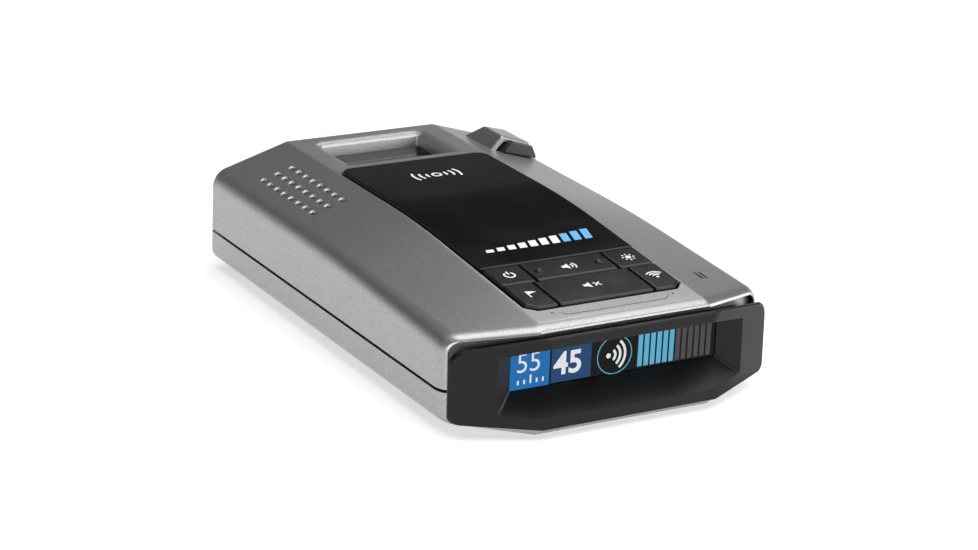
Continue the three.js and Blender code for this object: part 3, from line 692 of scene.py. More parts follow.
def middle(name):
    """The middle of a CAD node in X and Y."""
    return sum(span(name, X)) / 2, sum(span(name, Y)) / 2


def bosses(radius, z_span):
    """A cylinder at each screw."""
    levels = [(0, z) for z in z_span]
    return [stack(circle(radius, middle(screw), 32), levels) for screw in SCREWS]


# Mount pocket: slightly drafted walls up to the foot of a sloping rim. The skirt closes it at its sides.
POCKET_HALF, POCKET_FRONT, POCKET_REAR = 14.2, 42.0, 61.0
POCKET_DRAFT = 0.35
FLOOR_TOP = span("mount_bracket", Z)[1]
POCKET_SKIRT = FLOOR_TOP - 0.1
RIM_FOOT = 29.6
RIM_WIDTH = 2.0
POCKET_CORNER = 1.1


def pocket_cutter():
    """The pocket's opening. Its front wall is upright, so nothing of the rim spreads over it."""
    level = plateau(POCKET_REAR)
    slope = (level - RIM_FOOT) / RIM_WIDTH
    rim_levels = [(by, RIM_FOOT + slope * by) for by in (0.45, RIM_WIDTH, 2 * RIM_WIDTH)]
    wall_levels = [(-POCKET_DRAFT, POCKET_SKIRT - 5), (-POCKET_DRAFT, POCKET_SKIRT), (0, RIM_FOOT - 0.3)]
    levels = [*wall_levels, (0.1, RIM_FOOT), *rim_levels, (2 * RIM_WIDTH, FAR)]
    mouth_outline = rectangle((-POCKET_HALF, POCKET_HALF), (POCKET_FRONT, POCKET_REAR), POCKET_CORNER, 6)
    cutter = stack(mouth_outline, levels)
    for vertex in cutter.verts:
        vertex.co.y = max(vertex.co.y, POCKET_FRONT * MM)
    return cutter


# Speaker holes, in the left-hand facet.
HOLE_PITCH = 3.88
HOLE_COLUMNS = (-34.86, -30.98, -27.1)
HOLE_COUNT = 8
FIRST_HOLE = 22.7
HOLE_RADIUS = 0.92


def speaker_holes():
    """Drills square to the facet, each with a dished mouth."""
    drills = []
    levels = [(0, -5), (0, -0.45), (0.12, -0.2), (0.42, 0.03), (0.5, 2.0)]
    for x in HOLE_COLUMNS:
        for k in range(HOLE_COUNT):
            y = FIRST_HOLE + k * HOLE_PITCH
            tilt = Matrix.Rotation(-math.atan(facet_slope(y)), 4, "Y")
            drill = stack(circle(HOLE_RADIUS, count=20), levels)
            drills.append(moved(drill, Matrix.Translation((x, y, facet(x, y))) @ tilt))
    return joined(drills)


# The light sensor's two slots.
LIGHT_SLOTS = [(29.2, -47.2), (30.7, -46.9)]
SLOT_HALF = (0.35, 1.9)


def light_slots():
    half_x, half_y = SLOT_HALF
    spots = [((x - half_x, x + half_x), (y - half_y, y + half_y)) for x, y in LIGHT_SLOTS]
    return [stack(rectangle(*spot, 0.3), [(0, SEAM + 8), (0, FAR)]) for spot in spots]


PANEL_CORNER = 3.2
KEY_CHAMFER = 2.4  # the cut corners of the keypad
KEY_CLEARANCE = 0.12  # in front of the keypad


def panel_cutter():
    """The opening for the panel and the keys, with a small chamfer round its mouth."""
    edge, front = PANEL_HALF + GAP, KEYPAD_FRONT - KEY_CLEARANCE
    rear = (edge, PANEL_REAR + GAP, PANEL_CORNER + GAP, 8)
    half = [(edge - KEY_CHAMFER, front), (edge, front + KEY_CHAMFER), rear]
    outline = anticlockwise(rounded(mirrored(half)))
    return draped(stack(outline, [(0, -8), (0, -0.22), (0.22, 0.0), (0.3, 4.0)]), plateau)


# End window, and the jacks in the right-hand wall. JACK_ROOM is the room round a jack.
END_HALF, END_Z = 30.0, (11.5, 20.5)
END_SUNK = 0.15
POWER_Y, POWER_Z = (25.9, 35.8), (11.0, 17.9)
EARPHONE = (17.0, 13.2)
EARPHONE_RADIUS = 2.3
USB_Y, USB_Z = (4.2, 11.8), (9.9, 12.7)
JACK_ROOM = 0.4


def widened(low_high, by):
    return low_high[0] - by, low_high[1] + by


def mouth(wall, chamfer=0.25):
    """Levels of a cutter that goes out through a wall at the given height, with a chamfer."""
    return [(0, wall - 5), (0, wall - chamfer), (chamfer, wall), (chamfer, wall + 5)]


def side_cutters():
    power = rectangle(widened(POWER_Y, JACK_ROOM), (0, POWER_Z[1] + JACK_ROOM), 0.5)
    usb = rectangle(widened(USB_Y, JACK_ROOM), (0, USB_Z[1] + JACK_ROOM), 0.9)
    outlines = [power, usb, circle(EARPHONE_RADIUS, EARPHONE, 28)]
    return [moved(stack(outline, mouth(HALF_W)), ALONG_X) for outline in outlines]


def end_cutter():
    outline = rectangle((-END_HALF - GAP, END_HALF + GAP), widened(END_Z, GAP), 1.8)
    return moved(stack(outline, mouth(REAR)), ALONG_Y)


# Sensor hood at the right rear.
HOOD_FRONT, HOOD_RIDGE_REAR, HOOD_END = 45.0, 52.5, 60.0
HOOD_OUTLINE = [(25.8, 26), (26.6, 28.7), (30.05, 32.3), (38.4, 29.5), (41, 24.6), (41, 19)]
HOOD_SIDE = [(HOOD_FRONT, 15), (HOOD_END, 15), (HOOD_END, 28), (HOOD_RIDGE_REAR, 34), (HOOD_FRONT, 34)]
HOOD_HOLLOW = [(27.9, 22), (27.9, 28.0), (30.7, 30.6), (37.6, 28.3), (39.3, 24.4), (39.3, 22)]
HOOD_BEVEL = 0.55
LENS_OUTLINE = [(29.6, 28.45), (32.2, 31.0), (38.2, 29.1), (39.7, 25.6), (36, 26.65)]


def hood():
    """The outline seen from the front, cut to the outline seen from the side, with soft edges."""
    side = moved(stack(anticlockwise(HOOD_SIDE), [(0, 20), (0, 50)]), ALONG_X)
    outline = anticlockwise(HOOD_OUTLINE)
    made = as_object("hood", moved(stack(outline, [(0, HOOD_FRONT), (0, HOOD_END)]), ALONG_Y))
    boolean(made, "INTERSECT", [side])
    bevelled(made, HOOD_BEVEL)
    mesh = bmesh.new()
    mesh.from_mesh(made.data)
    bpy.data.objects.remove(made)
    return mesh


def hood_hollow():
    """The hollow that the sensor looks out of. It opens just in front of the hood."""
    levels = [(0.2, HOOD_FRONT - 0.1), (0.2, HOOD_FRONT), (0, HOOD_FRONT + 0.2), (0, HOOD_RIDGE_REAR)]
    return moved(stack(softened(HOOD_HOLLOW, 0.6), levels), ALONG_Y)


SEAM_LINE = 0.75  # the visible gap between the two shells


def upper_shell():
    made = as_object("upper_shell", shell())
    skirt_half = POCKET_HALF + RIM_WIDTH + 1
    skirt = block((-skirt_half, skirt_half), (POCKET_FRONT - 1.5, REAR - 1), (POCKET_SKIRT, 30.0))
    boolean(made, "UNION", [skirt, hood()])
    below_seam = block((-FAR, FAR), (-FAR, FAR), (-10, SEAM + SEAM_LINE / 2))
    openings = [below_seam, panel_cutter(), pocket_cutter(), hood_hollow(), end_cutter(), speaker_holes()]
    boolean(made, "DIFFERENCE", openings + light_slots() + side_cutters())
    return finished(made, PAINT, replaces=["upper_case"])


LABEL_HALF = (20.0, 22.0)
LABEL_DEPTH = 0.35
BOSS_RADIUS = 3.7
BOSS_Z = (2.7, 6.5)


def lower_shell():
    made = as_object("lower_shell", shell())
    boolean(made, "UNION", bosses(BOSS_RADIUS, BOSS_Z))
    above_seam = block((-FAR, FAR), (-FAR, FAR), (SEAM - SEAM_LINE / 2, FAR))
    counterbores = bosses(SCREW_BORE, (-2, SCREW_SEAT))
    flare = [(0, 0.25), (0.5, -0.25)]
    flares = [stack(circle(SCREW_BORE, middle(screw), 32), flare) for screw in SCREWS]
    half_x, half_y = LABEL_HALF
    label = stack(rectangle((-half_x, half_x), (-half_y, half_y), 2.0), [(0, -1), (0, LABEL_DEPTH)])
    boolean(made, "DIFFERENCE", [above_seam, label] + counterbores + flares)
    return finished(made, PAINT, replaces=["lower_case"])


upper_shell()
lower_shell()

# ---- bezel
BEZEL_PLANE = BEZEL_FRONT - BEZEL_BOTTOM * NOSE_LEAN
BEZEL_PLATE = 1.2
NECK_INSET = 1.3
# Depth behind the face, and how far the outline is drawn in at the sides and at top and bottom.
BEZEL_EDGE = [
    (0.80, 0.0, 0.0),
    (0.68, 0.06, 0.0),
    (0.24, 0.52, 0.0),
    (0.10, 0.66, 0.07),
    (0.03, 0.73, 0.16),
    (0.0, 0.80, 0.28),
]
BEZEL_LOW, BEZEL_HIGH = (3.6, 1.9), (19.9, 3.4)  # height and radius of the side's two corners
RECESS_EDGE = 0.35
SLEEVE_END = WINDOW - 0.25
NECK_STOP = -GAP - 0.1  # short of the nose's plane

# The recess and the sleeve that leads to the window: half-width, then the heights of the middle of
# the bottom, of the side's two ends and of the middle of the top.
RING_FOLD = 21.9
RECESS = (32.05, 4.84, 5.89, 19.0, 20.9)
RECESS_BACK = (27.2, 9.3, 9.3, 19.6, 19.6)
SLEEVE_TIP = (28.6, 8.0, 8.0, 20.9, 20.9)
SLEEVE_ROOT = (33.4, 4.7, 6.0, 19.3, 21.5)


def bezel_outline(side=0.0, level=0.0):
    """The bezel's outline drawn in by one distance at the sides and another at top and bottom."""
    edge = BEZEL_HALF - side
    (low, low_radius), (high, high_radius) = BEZEL_LOW, BEZEL_HIGH
    half = [
        (FOLD, BEZEL_BOTTOM + level),
        (edge, low + level, low_radius, 8),
        (edge, high - level, high_radius, 8),
        (FOLD, BEZEL_TOP - level),
        (PLATEAU_HALF, BEZEL_TOP - level),
    ]
    return rounded(mirrored(half))


def behind_face(outline, depth):
    return on_nose(outline, depth, BEZEL_SWEEP, BEZEL_PLANE)


def inner_ring(edge, bottom, low, high, top, radius=0.6):
    """An outline with the bezel's count of points, for the recess or the sleeve."""
    side = [(edge, low, radius, 8), (edge, high, radius, 8)]
    half = [(RING_FOLD, bottom), *side, (RING_FOLD, top), (RING_FOLD - 1.4, top)]
    return rounded(mirrored(half))


def recess_ring(grow=0.0):
    edge, bottom, low, high, top = RECESS
    return inner_ring(edge + grow, bottom - grow, low - grow, high + grow, top + grow)


def between(low, high, share):
    return [tuple(Vector(a).lerp(Vector(b), share)) for a, b in zip(low, high)]


def bezel():
    """One loop of rings: neck, outer face, front edge, recess, sleeve and the sleeve's root."""
    neck = bezel_outline(NECK_INSET, NECK_INSET)
    outer = [on_nose(neck, NECK_STOP)]
    outer += [behind_face(outline, BEZEL_PLATE) for outline in (neck, bezel_outline())]
    outer += [behind_face(bezel_outline(side, level), depth) for depth, side, level in BEZEL_EDGE]
    back = [(x, SLEEVE_END, z) for x, z in inner_ring(*RECESS_BACK, radius=0.4)]
    lip = [behind_face(recess_ring(RECESS_EDGE), 0)]
    face = behind_face(recess_ring(), 0)
    depth = SLEEVE_END - BEZEL_PLANE
    lip += [between(face, back, edges * RECESS_EDGE / depth) for edges in (0.25, 1.2)]
    sleeve = [[(x, SLEEVE_END, z) for x, z in inner_ring(*SLEEVE_TIP)]]
    sleeve += [on_nose(inner_ring(*SLEEVE_ROOT), behind) for behind in (1.0, NECK_STOP)]
    mesh = solid(outer + lip + [back] + sleeve, looped=True)
    return piece("bezel_moulding", mesh, BEZEL, replaces=["front_bezel"])


bezel()

# ---- flat marks: print and lit segments
INK_FOOT, INK = 0.002, 0.03  # where a print's plates start and end above the surface


def polygon_mesh(polygons, low, high):
    """Thin closed plates, one for each polygon of (a, b) points."""
    plates = []
    for points in polygons:
        plates.append(solid([[(a, b, height) for a, b in points] for height in (low, high)]))
    return joined(plates)


def bar(start, end, width):
    """A straight stroke with square ends."""
    start, end = Vector(start), Vector(end)
    along = (end - start).normalized() * width / 2
    side = Vector((-along.y, along.x))
    return [tuple(p) for p in (start - side, end - side, end + side, start + side)]


def band(middle_point, radius, width, first, last, steps=20):
    """A stroke along an arc, angles in degrees."""
    turns = [math.radians(first + (last - first) * k / steps) for k in range(steps + 1)]
    spokes = [Vector((math.cos(t), math.sin(t))) for t in turns]
    outside = [tuple(Vector(middle_point) + spoke * (radius + width / 2)) for spoke in spokes]
    inside = [tuple(Vector(middle_point) + spoke * (radius - width / 2)) for spoke in spokes]
    return outside + inside[::-1]


def shifted(polygons, dx, dy):
    return [[(a + dx, b + dy) for a, b in points] for points in polygons]


def power_icon():
    return [band((0, 0), 1.25, 0.42, 125, 415), bar((0, 0.35), (0, 1.75), 0.42)]


def speaker_icon():
    return [[(-1.9, -0.5), (-1.1, -0.5), (-0.1, -1.3), (-0.1, 1.3), (-1.1, 0.5), (-1.9, 0.5)]]


def volume_icon():
    waves = [band((-0.1, 0), radius, 0.36, -45, 45, 10) for radius in (1.0, 1.85)]
    return speaker_icon() + waves


def mute_icon():
    arms = []
    for side in (-1, 1):
        arms.append(bar((-0.8, 0.8 * side), (-0.17, 0.17 * side), 0.36))
        arms.append(bar((0.17, 0.17 * side), (0.8, 0.8 * side), 0.36))
    return shifted(speaker_icon(), -0.5, 0) + shifted(arms + [circle(0.22, count=8)], 1.2, 0)


def brightness_icon():
    rays = []
    for k in range(8):
        turn = Vector((math.cos(math.pi * k / 4), math.sin(math.pi * k / 4)))
        rays.append(bar(turn * 1.15, turn * 1.7, 0.34))
    return [circle(0.72)] + rays


def mark_icon():
    return [bar((-0.9, -1.5), (-0.9, 1.5), 0.36), [(-0.6, 0.1), (1.5, 0.8), (-0.6, 1.5)]]


def sensitivity_icon():
    arcs = [band((0, -1.2), radius, 0.38, 42, 138, 12) for radius in (1.1, 1.9, 2.7)]
    return [circle(0.36, (0, -1.2), 16)] + arcs


def reception_mark():
    """A ring with waves to both sides, for the satellite receiver under the panel."""
    stroke, reach = 0.6, 24
    marks = [band((0, 0), 1.1, stroke, 0, 350, 30)]
    for radius in (2.6, 4.4, 6.2):
        for middle_angle in (0, 180):
            ends = middle_angle - reach, middle_angle + reach
            marks.append(band((0, 0), radius, stroke, *ends, 10))
    return marks


# ---- panel
def panel_plate():
    half = [(PANEL_HALF, PANEL_FRONT, 0.5, 3), (PANEL_HALF, PANEL_REAR, PANEL_CORNER, 8)]
    outline = anticlockwise(rounded(mirrored(half)))
    levels = [(0, -2.5)] + rim(0.32, 0.0, 3)
    mesh = draped(stack(outline, levels), panel_top)
    return piece("panel_plate", mesh, PANEL, replaces=["top_panel"])


def rising_bars(first, last):
    """Slanted signal bars that grow from left to right, from the first number up to the last."""
    bars = []
    base, width, lean = -2.6, 2.0, 0.25
    left, pitch = -14.6, 2.95
    lowest, growth = 1.3, 0.42
    for k in range(first, last):
        x, height = left + pitch * k, lowest + growth * k
        top = x + lean * height
        bars.append([(x, base), (x + width, base), (top + width, base + height), (top, base + height)])
    return bars


def on_panel(name, polygons, middle_y, material):
    mesh = polygon_mesh(shifted(polygons, 0, middle_y), INK_FOOT, INK)
    return piece(name, draped(mesh, panel_top), material)


RECEPTION_Y, SIGNAL_Y = 25.3, -22.6
WHITE_BARS, ALL_BARS = 7, 10

panel_plate()
on_panel("reception_mark", reception_mark(), RECEPTION_Y, WHITE_INK)
on_panel("signal_mark_white", rising_bars(0, WHITE_BARS), SIGNAL_Y, WHITE_INK)
on_panel("signal_mark_blue", rising_bars(WHITE_BARS, ALL_BARS), SIGNAL_Y, BLUE_INK)


def front_line():
    """The thin printed line and two dots in front of the keypad."""
    path = [(-14.3, -57.0), (-12.7, -58.4), (12.9, -58.4), (14.5, -57.0)]
    strokes = [bar(a, b, 0.22) for a, b in zip(path, path[1:])]
    dots = [circle(0.33, (x, -56.6), 12) for x in (-15.9, 15.9)]
    mesh = polygon_mesh(strokes + dots, 0.0, 0.02)
    return piece("front_line", draped(mesh, plateau), DARK_INK)


front_line()

# ---- keys
KEY_REAR = PANEL_FRONT - GAP
CAP = 1.9  # the caps' thickness
KEY_BEVEL = 0.45
KEY_CORNER = 0.6  # more than the bevel, so that the drawn-in outline stays simple
STEM_HALF = 1.2
STEM_FOOT = -5.0
ROCKER_STEM = 8.0
DOT_RADIUS = 1.1


def keypad_frame():
    """From the keypad's sloping plane to the row frame: its rear edge is at local y = 0."""
    return Matrix.Translation((0, KEY_REAR, panel_top(KEY_REAR))) @ Matrix.Rotation(SLOPE_ANGLE, 4, "X")


def key_span(name):
    """A key's local X and Y span, from its CAD node, whose rear reach is its cap's lower edge."""
    front, rear = (y - KEY_REAR for y in span(name, Y))
    rear -= CAP * math.sin(SLOPE_ANGLE)
    return span(name, X), (front / math.cos(SLOPE_ANGLE), rear / math.cos(SLOPE_ANGLE))


def dome(x, y, radius, height, steps=5):
    """A raised dot for the finger to find, rooted in its cap."""
    angles = [math.pi / 2 * k / steps for k in range(steps)]
    rings = []
    for t in angles:
        outline = circle(radius * math.cos(t), (x, y))
        rings.append([(a, b, height * math.sin(t)) for a, b in outline])
    foot = [(a, b, -GAP) for a, b, _ in rings[0]]
    return solid([foot] + rings)


def key(name, icon, chamfer=0, stems=(), icon_at=(0, 0)):
    """A key cap with rounded edges, its stems and its icon. chamfer is -1 left, 1 right, 0 none."""
    (x0, x1), (y0, y1) = key_span(name)
    cut = KEY_CHAMFER
    left = [(x0, y0 + cut), (x0 + cut, y0)] if chamfer < 0 else [(x0, y0)]
    right = [(x1 - cut, y0), (x1, y0 + cut)] if chamfer > 0 else [(x1, y0)]
    outline = softened(left + right + [(x1, y1), (x0, y1)], KEY_CORNER)
    middle_x, middle_y = (x0 + x1) / 2, (y0 + y1) / 2
    parts = [stack(outline, [(0, -CAP)] + rim(KEY_BEVEL, 0.0, 4))]
    for x in stems or [middle_x]:
        square = rectangle(widened((x, x), STEM_HALF), widened((middle_y, middle_y), STEM_HALF), 0.3, 2)
        parts.append(stack(square, [(0, STEM_FOOT), (0, -CAP)]))
    parts += [dome(x, middle_y, DOT_RADIUS, DOT_RADIUS / 2) for x in stems]
    piece(f"{name}_cap", moved(joined(parts), keypad_frame()), KEYS, name, [name])
    dx, dy = icon_at
    print_mesh = polygon_mesh(shifted(icon, middle_x + dx, middle_y + dy), INK_FOOT, INK)
    piece(f"{name}_icon", moved(print_mesh, keypad_frame()), WHITE_INK, name)


key("power_key", power_icon())
key("volume_rocker", volume_icon(), stems=(-ROCKER_STEM, ROCKER_STEM))
key("brightness_key", brightness_icon(), icon_at=(0.3, 0))
key("mark_key", mark_icon(), chamfer=-1, icon_at=(0.6, 0.6))
key("mute_key", mute_icon(), icon_at=(0, 0.6))
key("sensitivity_key", sensitivity_icon(), chamfer=1, icon_at=(0.2, 0.6))

# ---- display
DISPLAY_FRONT = WINDOW - 0.03
SEGMENT = 0.04  # thickness of the lit layer on the window's face
CELL_BOTTOM, CELL_TOP = 9.35, 19.9
SPEED_CELL, LIMIT_CELL = (-27.1, -17.0), (-16.5, -6.2)
TICKS = [(-25.2, 11.5), (-23.6, 11.5), (-22.0, 12.5), (-20.4, 11.5), (-18.8, 11.5)]  # left, top
TICK_WIDTH, TICK_BOTTOM = 0.45, 10.5
BAND_Z = 13.75
BAR_BOTTOM = 9.9
BAR_COUNT, LIT_BARS = 12, 6
FIRST_BAR, BAR_PITCH, BAR_WIDTH = 6.23, 1.68, 1.2

LIT_WHITE = lit("lit_white", (0.9, 0.93, 0.95, 1.0), 0.85)
LIT_BLUE = lit("lit_blue", (0.0, 0.16, 0.46, 1.0), 0.9)
LIT_NAVY = lit("lit_navy", (0.006, 0.055, 0.17, 1.0), 0.9)
LIT_SKY = lit("lit_sky", (0.11, 0.46, 0.68, 1.0), 0.9)
LIT_GREY = lit("lit_grey", (0.075, 0.07, 0.07, 1.0), 0.8)


def on_display(name, polygons, material, layer=0):
    """Polygons of (x, z) points as a thin layer on the display; a higher layer lies on a lower."""
    front = DISPLAY_FRONT - SEGMENT * layer
    mesh = moved(polygon_mesh(polygons, front - SEGMENT, front), ALONG_Y)
    return piece(name, mesh, material)


def numeral(name, text, size, weight, left, base):
    """Numbers on the display, from the built-in font."""
    curve = bpy.data.curves.new(name, "FONT")
    curve.body = text
    curve.size = size * MM
    curve.offset = weight * MM
    curve.extrude = SEGMENT / 2 * MM
    carrier = bpy.data.objects.new(name, curve)
    bpy.context.scene.collection.objects.link(carrier)
    graph = bpy.context.evaluated_depsgraph_get()
    mesh = bmesh.new()
    mesh.from_mesh(bpy.data.meshes.new_from_object(carrier.evaluated_get(graph)))
    bpy.data.objects.remove(carrier)
    upright = Matrix.Rotation(math.pi / 2, 4, "X")
    upright.translation = (left, DISPLAY_FRONT - 1.6 * SEGMENT, base)
    return piece(name, moved(mesh, upright), LIT_WHITE)


def rect(x0, x1, z0, z1):
    return [(x0, z0), (x1, z0), (x1, z1), (x0, z1)]


def display():
    """Two speeds, a band's ring with waves, and a row of bars."""
    on_display("speed_cell", [rect(*SPEED_CELL, CELL_BOTTOM, CELL_TOP)], LIT_BLUE)
    on_display("limit_cell", [rect(*LIMIT_CELL, CELL_BOTTOM + 0.2, CELL_TOP)], LIT_NAVY)
    numeral("speed_digits", "55", 6.6, -0.05, -25.7, 13.3)
    numeral("limit_digits", "45", 7.4, 0.17, -15.9, 11.4)
    ticks = [rect(x, x + TICK_WIDTH, TICK_BOTTOM, top) for x, top in TICKS]
    on_display("speed_ticks", ticks, LIT_WHITE, 1)
    on_display("band_ring", [band((0.0, BAND_Z), 4.5, 0.22, 0, 359, 60)], LIT_SKY)
    waves = [band((-1.3, BAND_Z), radius, 0.62, -50, 50, 14) for radius in (1.5, 2.8, 4.1)]
    on_display("band_waves", [circle(0.6, (-1.6, BAND_Z))] + waves, LIT_WHITE)
    lefts = [FIRST_BAR + BAR_PITCH * k for k in range(BAR_COUNT)]
    bars = [rect(x, x + BAR_WIDTH, BAR_BOTTOM, CELL_TOP) for x in lefts]
    on_display("lit_bars", bars[:LIT_BARS], LIT_SKY)
    on_display("unlit_bars", bars[LIT_BARS:], LIT_GREY)


display()

# ---- rear lens, end window, pocket tray
def rear_lens():
    """The dark block in front of the hood, with rounded edges, and the part of it inside the hood."""
    front, back = HOOD_FRONT - 2, HOOD_FRONT - GAP
    outside = anticlockwise(LENS_OUTLINE)
    head_levels = [(-0.35, front), (-0.1, front + 0.1), (0, front + 0.35), (0, back)]
    head = moved(stack(softened(LENS_OUTLINE, 0.4), head_levels), ALONG_Y)
    centre = Vector((33.5, 26))
    shrunk = [tuple(Vector(p).lerp(centre, 0.07)) for p in HOOD_HOLLOW]
    tail = as_object("rear_lens", moved(stack(outside, [(0, back - 1), (0, HOOD_FRONT + 1.8)]), ALONG_Y))
    boolean(tail, "INTERSECT", [moved(stack(anticlockwise(shrunk), [(0, 0), (0, FAR)]), ALONG_Y)])
    boolean(tail, "UNION", [head])
    return finished(tail, SMOKED, replaces=["rear_laser_lens"])


def end_window():
    """The smoked pane of the windshield end, with a flange behind the wall."""
    inner = REAR - WALL
    pane_levels = [(0, inner - 0.6)] + rim(0.25, REAR - END_SUNK, 3)
    pane = stack(rectangle((-END_HALF, END_HALF), END_Z, 1.6), pane_levels)
    flange_outline = rectangle((-END_HALF - 1, END_HALF + 1), widened(END_Z, 1), 2.2)
    flange = stack(flange_outline, [(0, inner - 1.3), (0, inner - GAP)])
    window = as_object("end_window_pane", moved(pane, ALONG_Y))
    boolean(window, "UNION", [moved(flange, ALONG_Y)])
    return finished(window, SMOKED, replaces=["end_window"])


MAGNET_WELL = 1.2  # the wells' walls
FLANGE = 1.6  # its thickness


def magnet_wells(wall, z_span):
    """A block round each of the two magnets under the pocket."""
    blocks = []
    for name in ("mount_magnet_left", "mount_magnet_right"):
        x_span, y_span = (widened(span(name, axis), wall) for axis in (X, Y))
        blocks.append(block(x_span, y_span, z_span))
    return blocks


def mount_tray():
    """The pocket's polished floor on a wider flange, with a well round each magnet below it."""
    flange_top = POCKET_SKIRT - GAP
    low = flange_top - FLANGE
    pad_foot = low + 0.5
    foot = span("mount_bracket", Z)[0]
    flange_outline = rectangle(span("mount_bracket", X), span("mount_bracket", Y), 0.8)
    pad_half = POCKET_HALF - POCKET_DRAFT - GAP
    pad_rear = POCKET_REAR - POCKET_DRAFT - GAP
    pad_outline = rectangle((-pad_half, pad_half), (POCKET_FRONT + GAP, pad_rear), 0.8)
    tray = as_object("mount_tray", stack(flange_outline, [(0, low), (0, flange_top)]))
    pad = stack(pad_outline, [(0, pad_foot)] + rim(0.15, FLOOR_TOP, 2))
    boolean(tray, "UNION", [pad, *magnet_wells(MAGNET_WELL, (foot, pad_foot))])
    boolean(tray, "DIFFERENCE", magnet_wells(GAP, (foot - 1, low)))
    return finished(tray, POCKET, replaces=["mount_bracket"])


rear_lens()
end_window()
mount_tray()

# ---- fasteners, jacks, label, cloth
SCREW_HEAD = 2.6
CROSS = (1.5, 0.35)  # half-length and half-width of its slots
THREAD_RADIUS, THREAD_PITCH, THREAD_DEPTH = 0.98, 0.35, 0.12


def case_screw(name):
    """A flat head with a cross recess, and a threaded shank."""
    x, y = middle(name)
    spot = Matrix.Translation((x, y, 0))
    low, high = span(name, Z)
    head_top = SCREW_SEAT - GAP
    head_levels = [(-0.5, low), (-0.12, low + 0.15), (0, low + 0.5), (0, head_top)]
    screw = as_object(f"{name}_steel", moved(stack(circle(SCREW_HEAD, count=32), head_levels), spot))
    slots = [rectangle((-a, a), (-b, b), 0.12) for a, b in (CROSS, CROSS[::-1])]
    cross = [moved(stack(outline, [(0, low - 1), (-0.12, low + 0.8)]), spot) for outline in slots]
    boolean(screw, "DIFFERENCE", cross)
    turns = range(int((high - head_top) / THREAD_PITCH))
    thread = [(THREAD_DEPTH * (k % 2), head_top - 0.1 + THREAD_PITCH * k) for k in turns]
    boolean(screw, "UNION", [moved(stack(circle(THREAD_RADIUS, count=20), thread), spot)])
    return finished(screw, SCREW, replaces=[name])


def label():
    """A blank film, sunk in its recess on the underside."""
    half_x, half_y = LABEL_HALF
    outline = rectangle((GAP - half_x, half_x - GAP), (GAP - half_y, half_y - GAP), 1.8)
    piece("label_film", stack(outline, [(0, 0.14), (0, LABEL_DEPTH)]), LABEL)


CONTACT_COUNT, CONTACT_PITCH = 6, 1.27


def socket_contacts():
    """Sprung contacts along the power socket's floor."""
    wires = []
    for k in range(CONTACT_COUNT):
        y = sum(POWER_Y) / 2 + (k - (CONTACT_COUNT - 1) / 2) * CONTACT_PITCH
        path = [(28.0, 11.35), (36.2, 11.35), (30.5, 14.0), (30.3, 13.7), (35.2, 11.65), (28.0, 11.65)]
        plate = stack(anticlockwise(path), [(0, y - 0.22), (0, y + 0.22)])
        wires.append(moved(plate, ALONG_Y))
    piece("socket_contacts", joined(wires), GOLD)


def earphone_ring():
    """The metal ring inside the earphone jack's mouth."""
    outer, inner = circle(2.15, EARPHONE, 28), circle(1.75, EARPHONE, 28)
    sections = [(outer, 38.6), (outer, 39.3), (inner, 39.3), (inner, 38.6)]
    rings = [[(depth, y, z) for y, z in outline] for outline, depth in sections]
    piece("earphone_ring", solid(rings, looped=True), STEEL)


def usb_tongue():
    """The plastic tongue inside the USB port."""
    low, high = USB_Z
    body = stack(rectangle(widened(USB_Y, -1.2), (low + 1.1, high - 1.1), 0.1), [(0, 33.2), (0, 38.2)])
    piece("usb_tongue", moved(body, ALONG_X), JACK)


CLOTH_X = -30.2
CLOTH_HALF = (7.5, 14.6)


def speaker_cloth():
    """A sheet of foam right behind the speaker holes."""
    x, y = CLOTH_X, FIRST_HOLE + HOLE_PITCH * (HOLE_COUNT - 1) / 2
    tilt = Matrix.Rotation(-math.atan(facet_slope(y)), 4, "Y")
    half_x, half_y = CLOTH_HALF
    outline = rectangle((-half_x, half_x), (-half_y, half_y), 4.0, 8)
    sheet = stack(outline, [(0, -2.6), (0, -2.45)])
    piece("speaker_cloth", moved(sheet, Matrix.Translation((x, y, facet(x, y))) @ tilt), FOAM)


for screw_name in SCREWS:
    case_screw(screw_name)
label()
socket_contacts()
earphone_ring()
usb_tongue()
speaker_cloth()

# ---- finishes of the CAD nodes that stay
SLOT_MATERIALS = {
    "window_glass": GLASS,
    "screen": SCREEN,
    "sensor_lens": LENS,
    "inner_plastic": INNER,
    "circuit_board": circuit_board(),
    "flex_film": flex_film(),
    "bright_metal": STEEL,
    "cast_metal": CAST,
    "patch_ceramic": ceramic(),
    "foam": FOAM,
    "speaker_cone": CONE,
    "switch_metal": SWITCH,
    "jack_plastic": JACK,
    "light_guide": LIGHT_GUIDE,
}

for subpart in frame["record"]["subparts"]:
    cad_node = frame["nodes"][subpart["node"]]
    if not cad_node.hide_render:
        cad_node.data.materials.clear()
        cad_node.data.materials.append(SLOT_MATERIALS[subpart["material_slot"]])

# ---- studio
FLOOR_RADIUS = 2.5  # metres
FLOOR_DROP = 0.2  # below the underside, so that the two don't flicker


def floor():
    """A pale disc that is bright enough to read as a plain background."""
    disc = bmesh.new()
    bmesh.ops.create_circle(disc, cap_ends=True, segments=96, radius=FLOOR_RADIUS)
    made = as_object("floor", moved(disc, Matrix.Translation((0, 0, -FLOOR_DROP))))
    pale = new_material("pale_floor", Roughness=0.9, Specular_IOR_Level=0.1, Emission_Strength=0.55)
    pale.node_tree.nodes["Principled BSDF"].inputs["Emission Color"].default_value = grey(1.0)
    vary(pale, noise(pale, 6.0), "Base Color", grey(0.60), grey(0.62))
    made.data.materials.append(pale)


LAMP_DISTANCE = 1.2  # metres


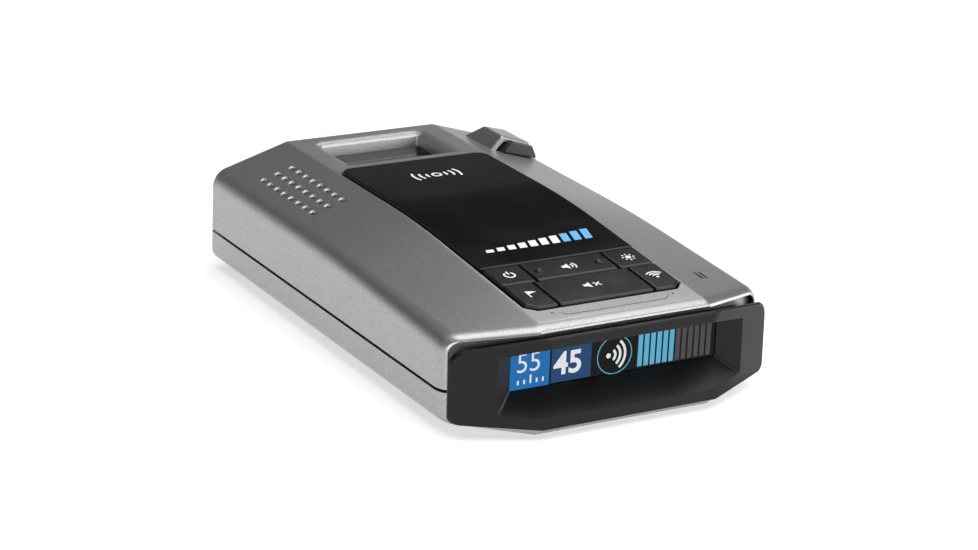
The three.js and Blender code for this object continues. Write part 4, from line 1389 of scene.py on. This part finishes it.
def softbox(name, aim, across, size, power):
    """An area light that looks at the object from aim, with its first side along across."""
    light = bpy.data.lights.new(name, "AREA")
    light.shape = "RECTANGLE"
    light.size, light.size_y = size
    light.energy = power
    back = Vector(aim).normalized()
    up = back.cross(Vector(across)).normalized()
    lamp = bpy.data.objects.new(name, light)
    lamp.matrix_world = Matrix((up.cross(back), up, back)).transposed().to_4x4()
    lamp.location = back * LAMP_DISTANCE
    bpy.context.scene.collection.objects.link(lamp)


# Grey levels of the surroundings, from straight down, 0, to straight up, 1.
SKY = [(0.0, 0.80), (0.17, 0.50), (0.32, 0.05), (0.58, 0.03), (0.68, 0.28), (1.0, 0.5)]


def studio_world():
    """White to the camera. To the surfaces it is dark round the horizon and brighter overhead."""
    world = bpy.data.worlds.new("studio")
    world.use_nodes = True
    tree = world.node_tree
    nodes, links = tree.nodes, tree.links
    nodes.clear()
    where = nodes.new("ShaderNodeTexCoord")
    axes = nodes.new("ShaderNodeSeparateXYZ")
    stops = [(height, grey(value)) for height, value in SKY]
    around = nodes.new("ShaderNodeBackground")
    behind = nodes.new("ShaderNodeBackground")
    behind.inputs["Color"].default_value = grey(1.0)
    path = nodes.new("ShaderNodeLightPath")
    mix = nodes.new("ShaderNodeMixShader")
    out = nodes.new("ShaderNodeOutputWorld")
    links.new(where.outputs["Generated"], axes.inputs["Vector"])
    links.new(ramp(world, axes.outputs["Z"], stops), around.inputs["Color"])
    links.new(path.outputs["Is Camera Ray"], mix.inputs["Fac"])
    links.new(around.outputs["Background"], mix.inputs[1])
    links.new(behind.outputs["Background"], mix.inputs[2])
    links.new(mix.outputs["Shader"], out.inputs["Surface"])
    bpy.context.scene.world = world


floor()
studio_world()
softbox("overhead", (0.15, -0.25, 0.95), (1, 0, 0), (1.5, 1.5), 18.0)
softbox("back_right", (0.47, 0.60, 0.65), (1, 0, 0), (0.3, 0.2), 0.9)
softbox("right_side", (0.95, -0.25, 0.18), (0, 1, 0), (0.5, 0.4), 4.0)
softbox("front_fill", (0.45, -0.85, 0.25), (1, 0, 0), (0.8, 0.3), 4.0)
softbox("front_left", (-0.70, -0.70, 0.12), (0, 0, 1), (0.25, 0.5), 3.0)
bpy.context.scene.view_settings.view_transform = "Standard"
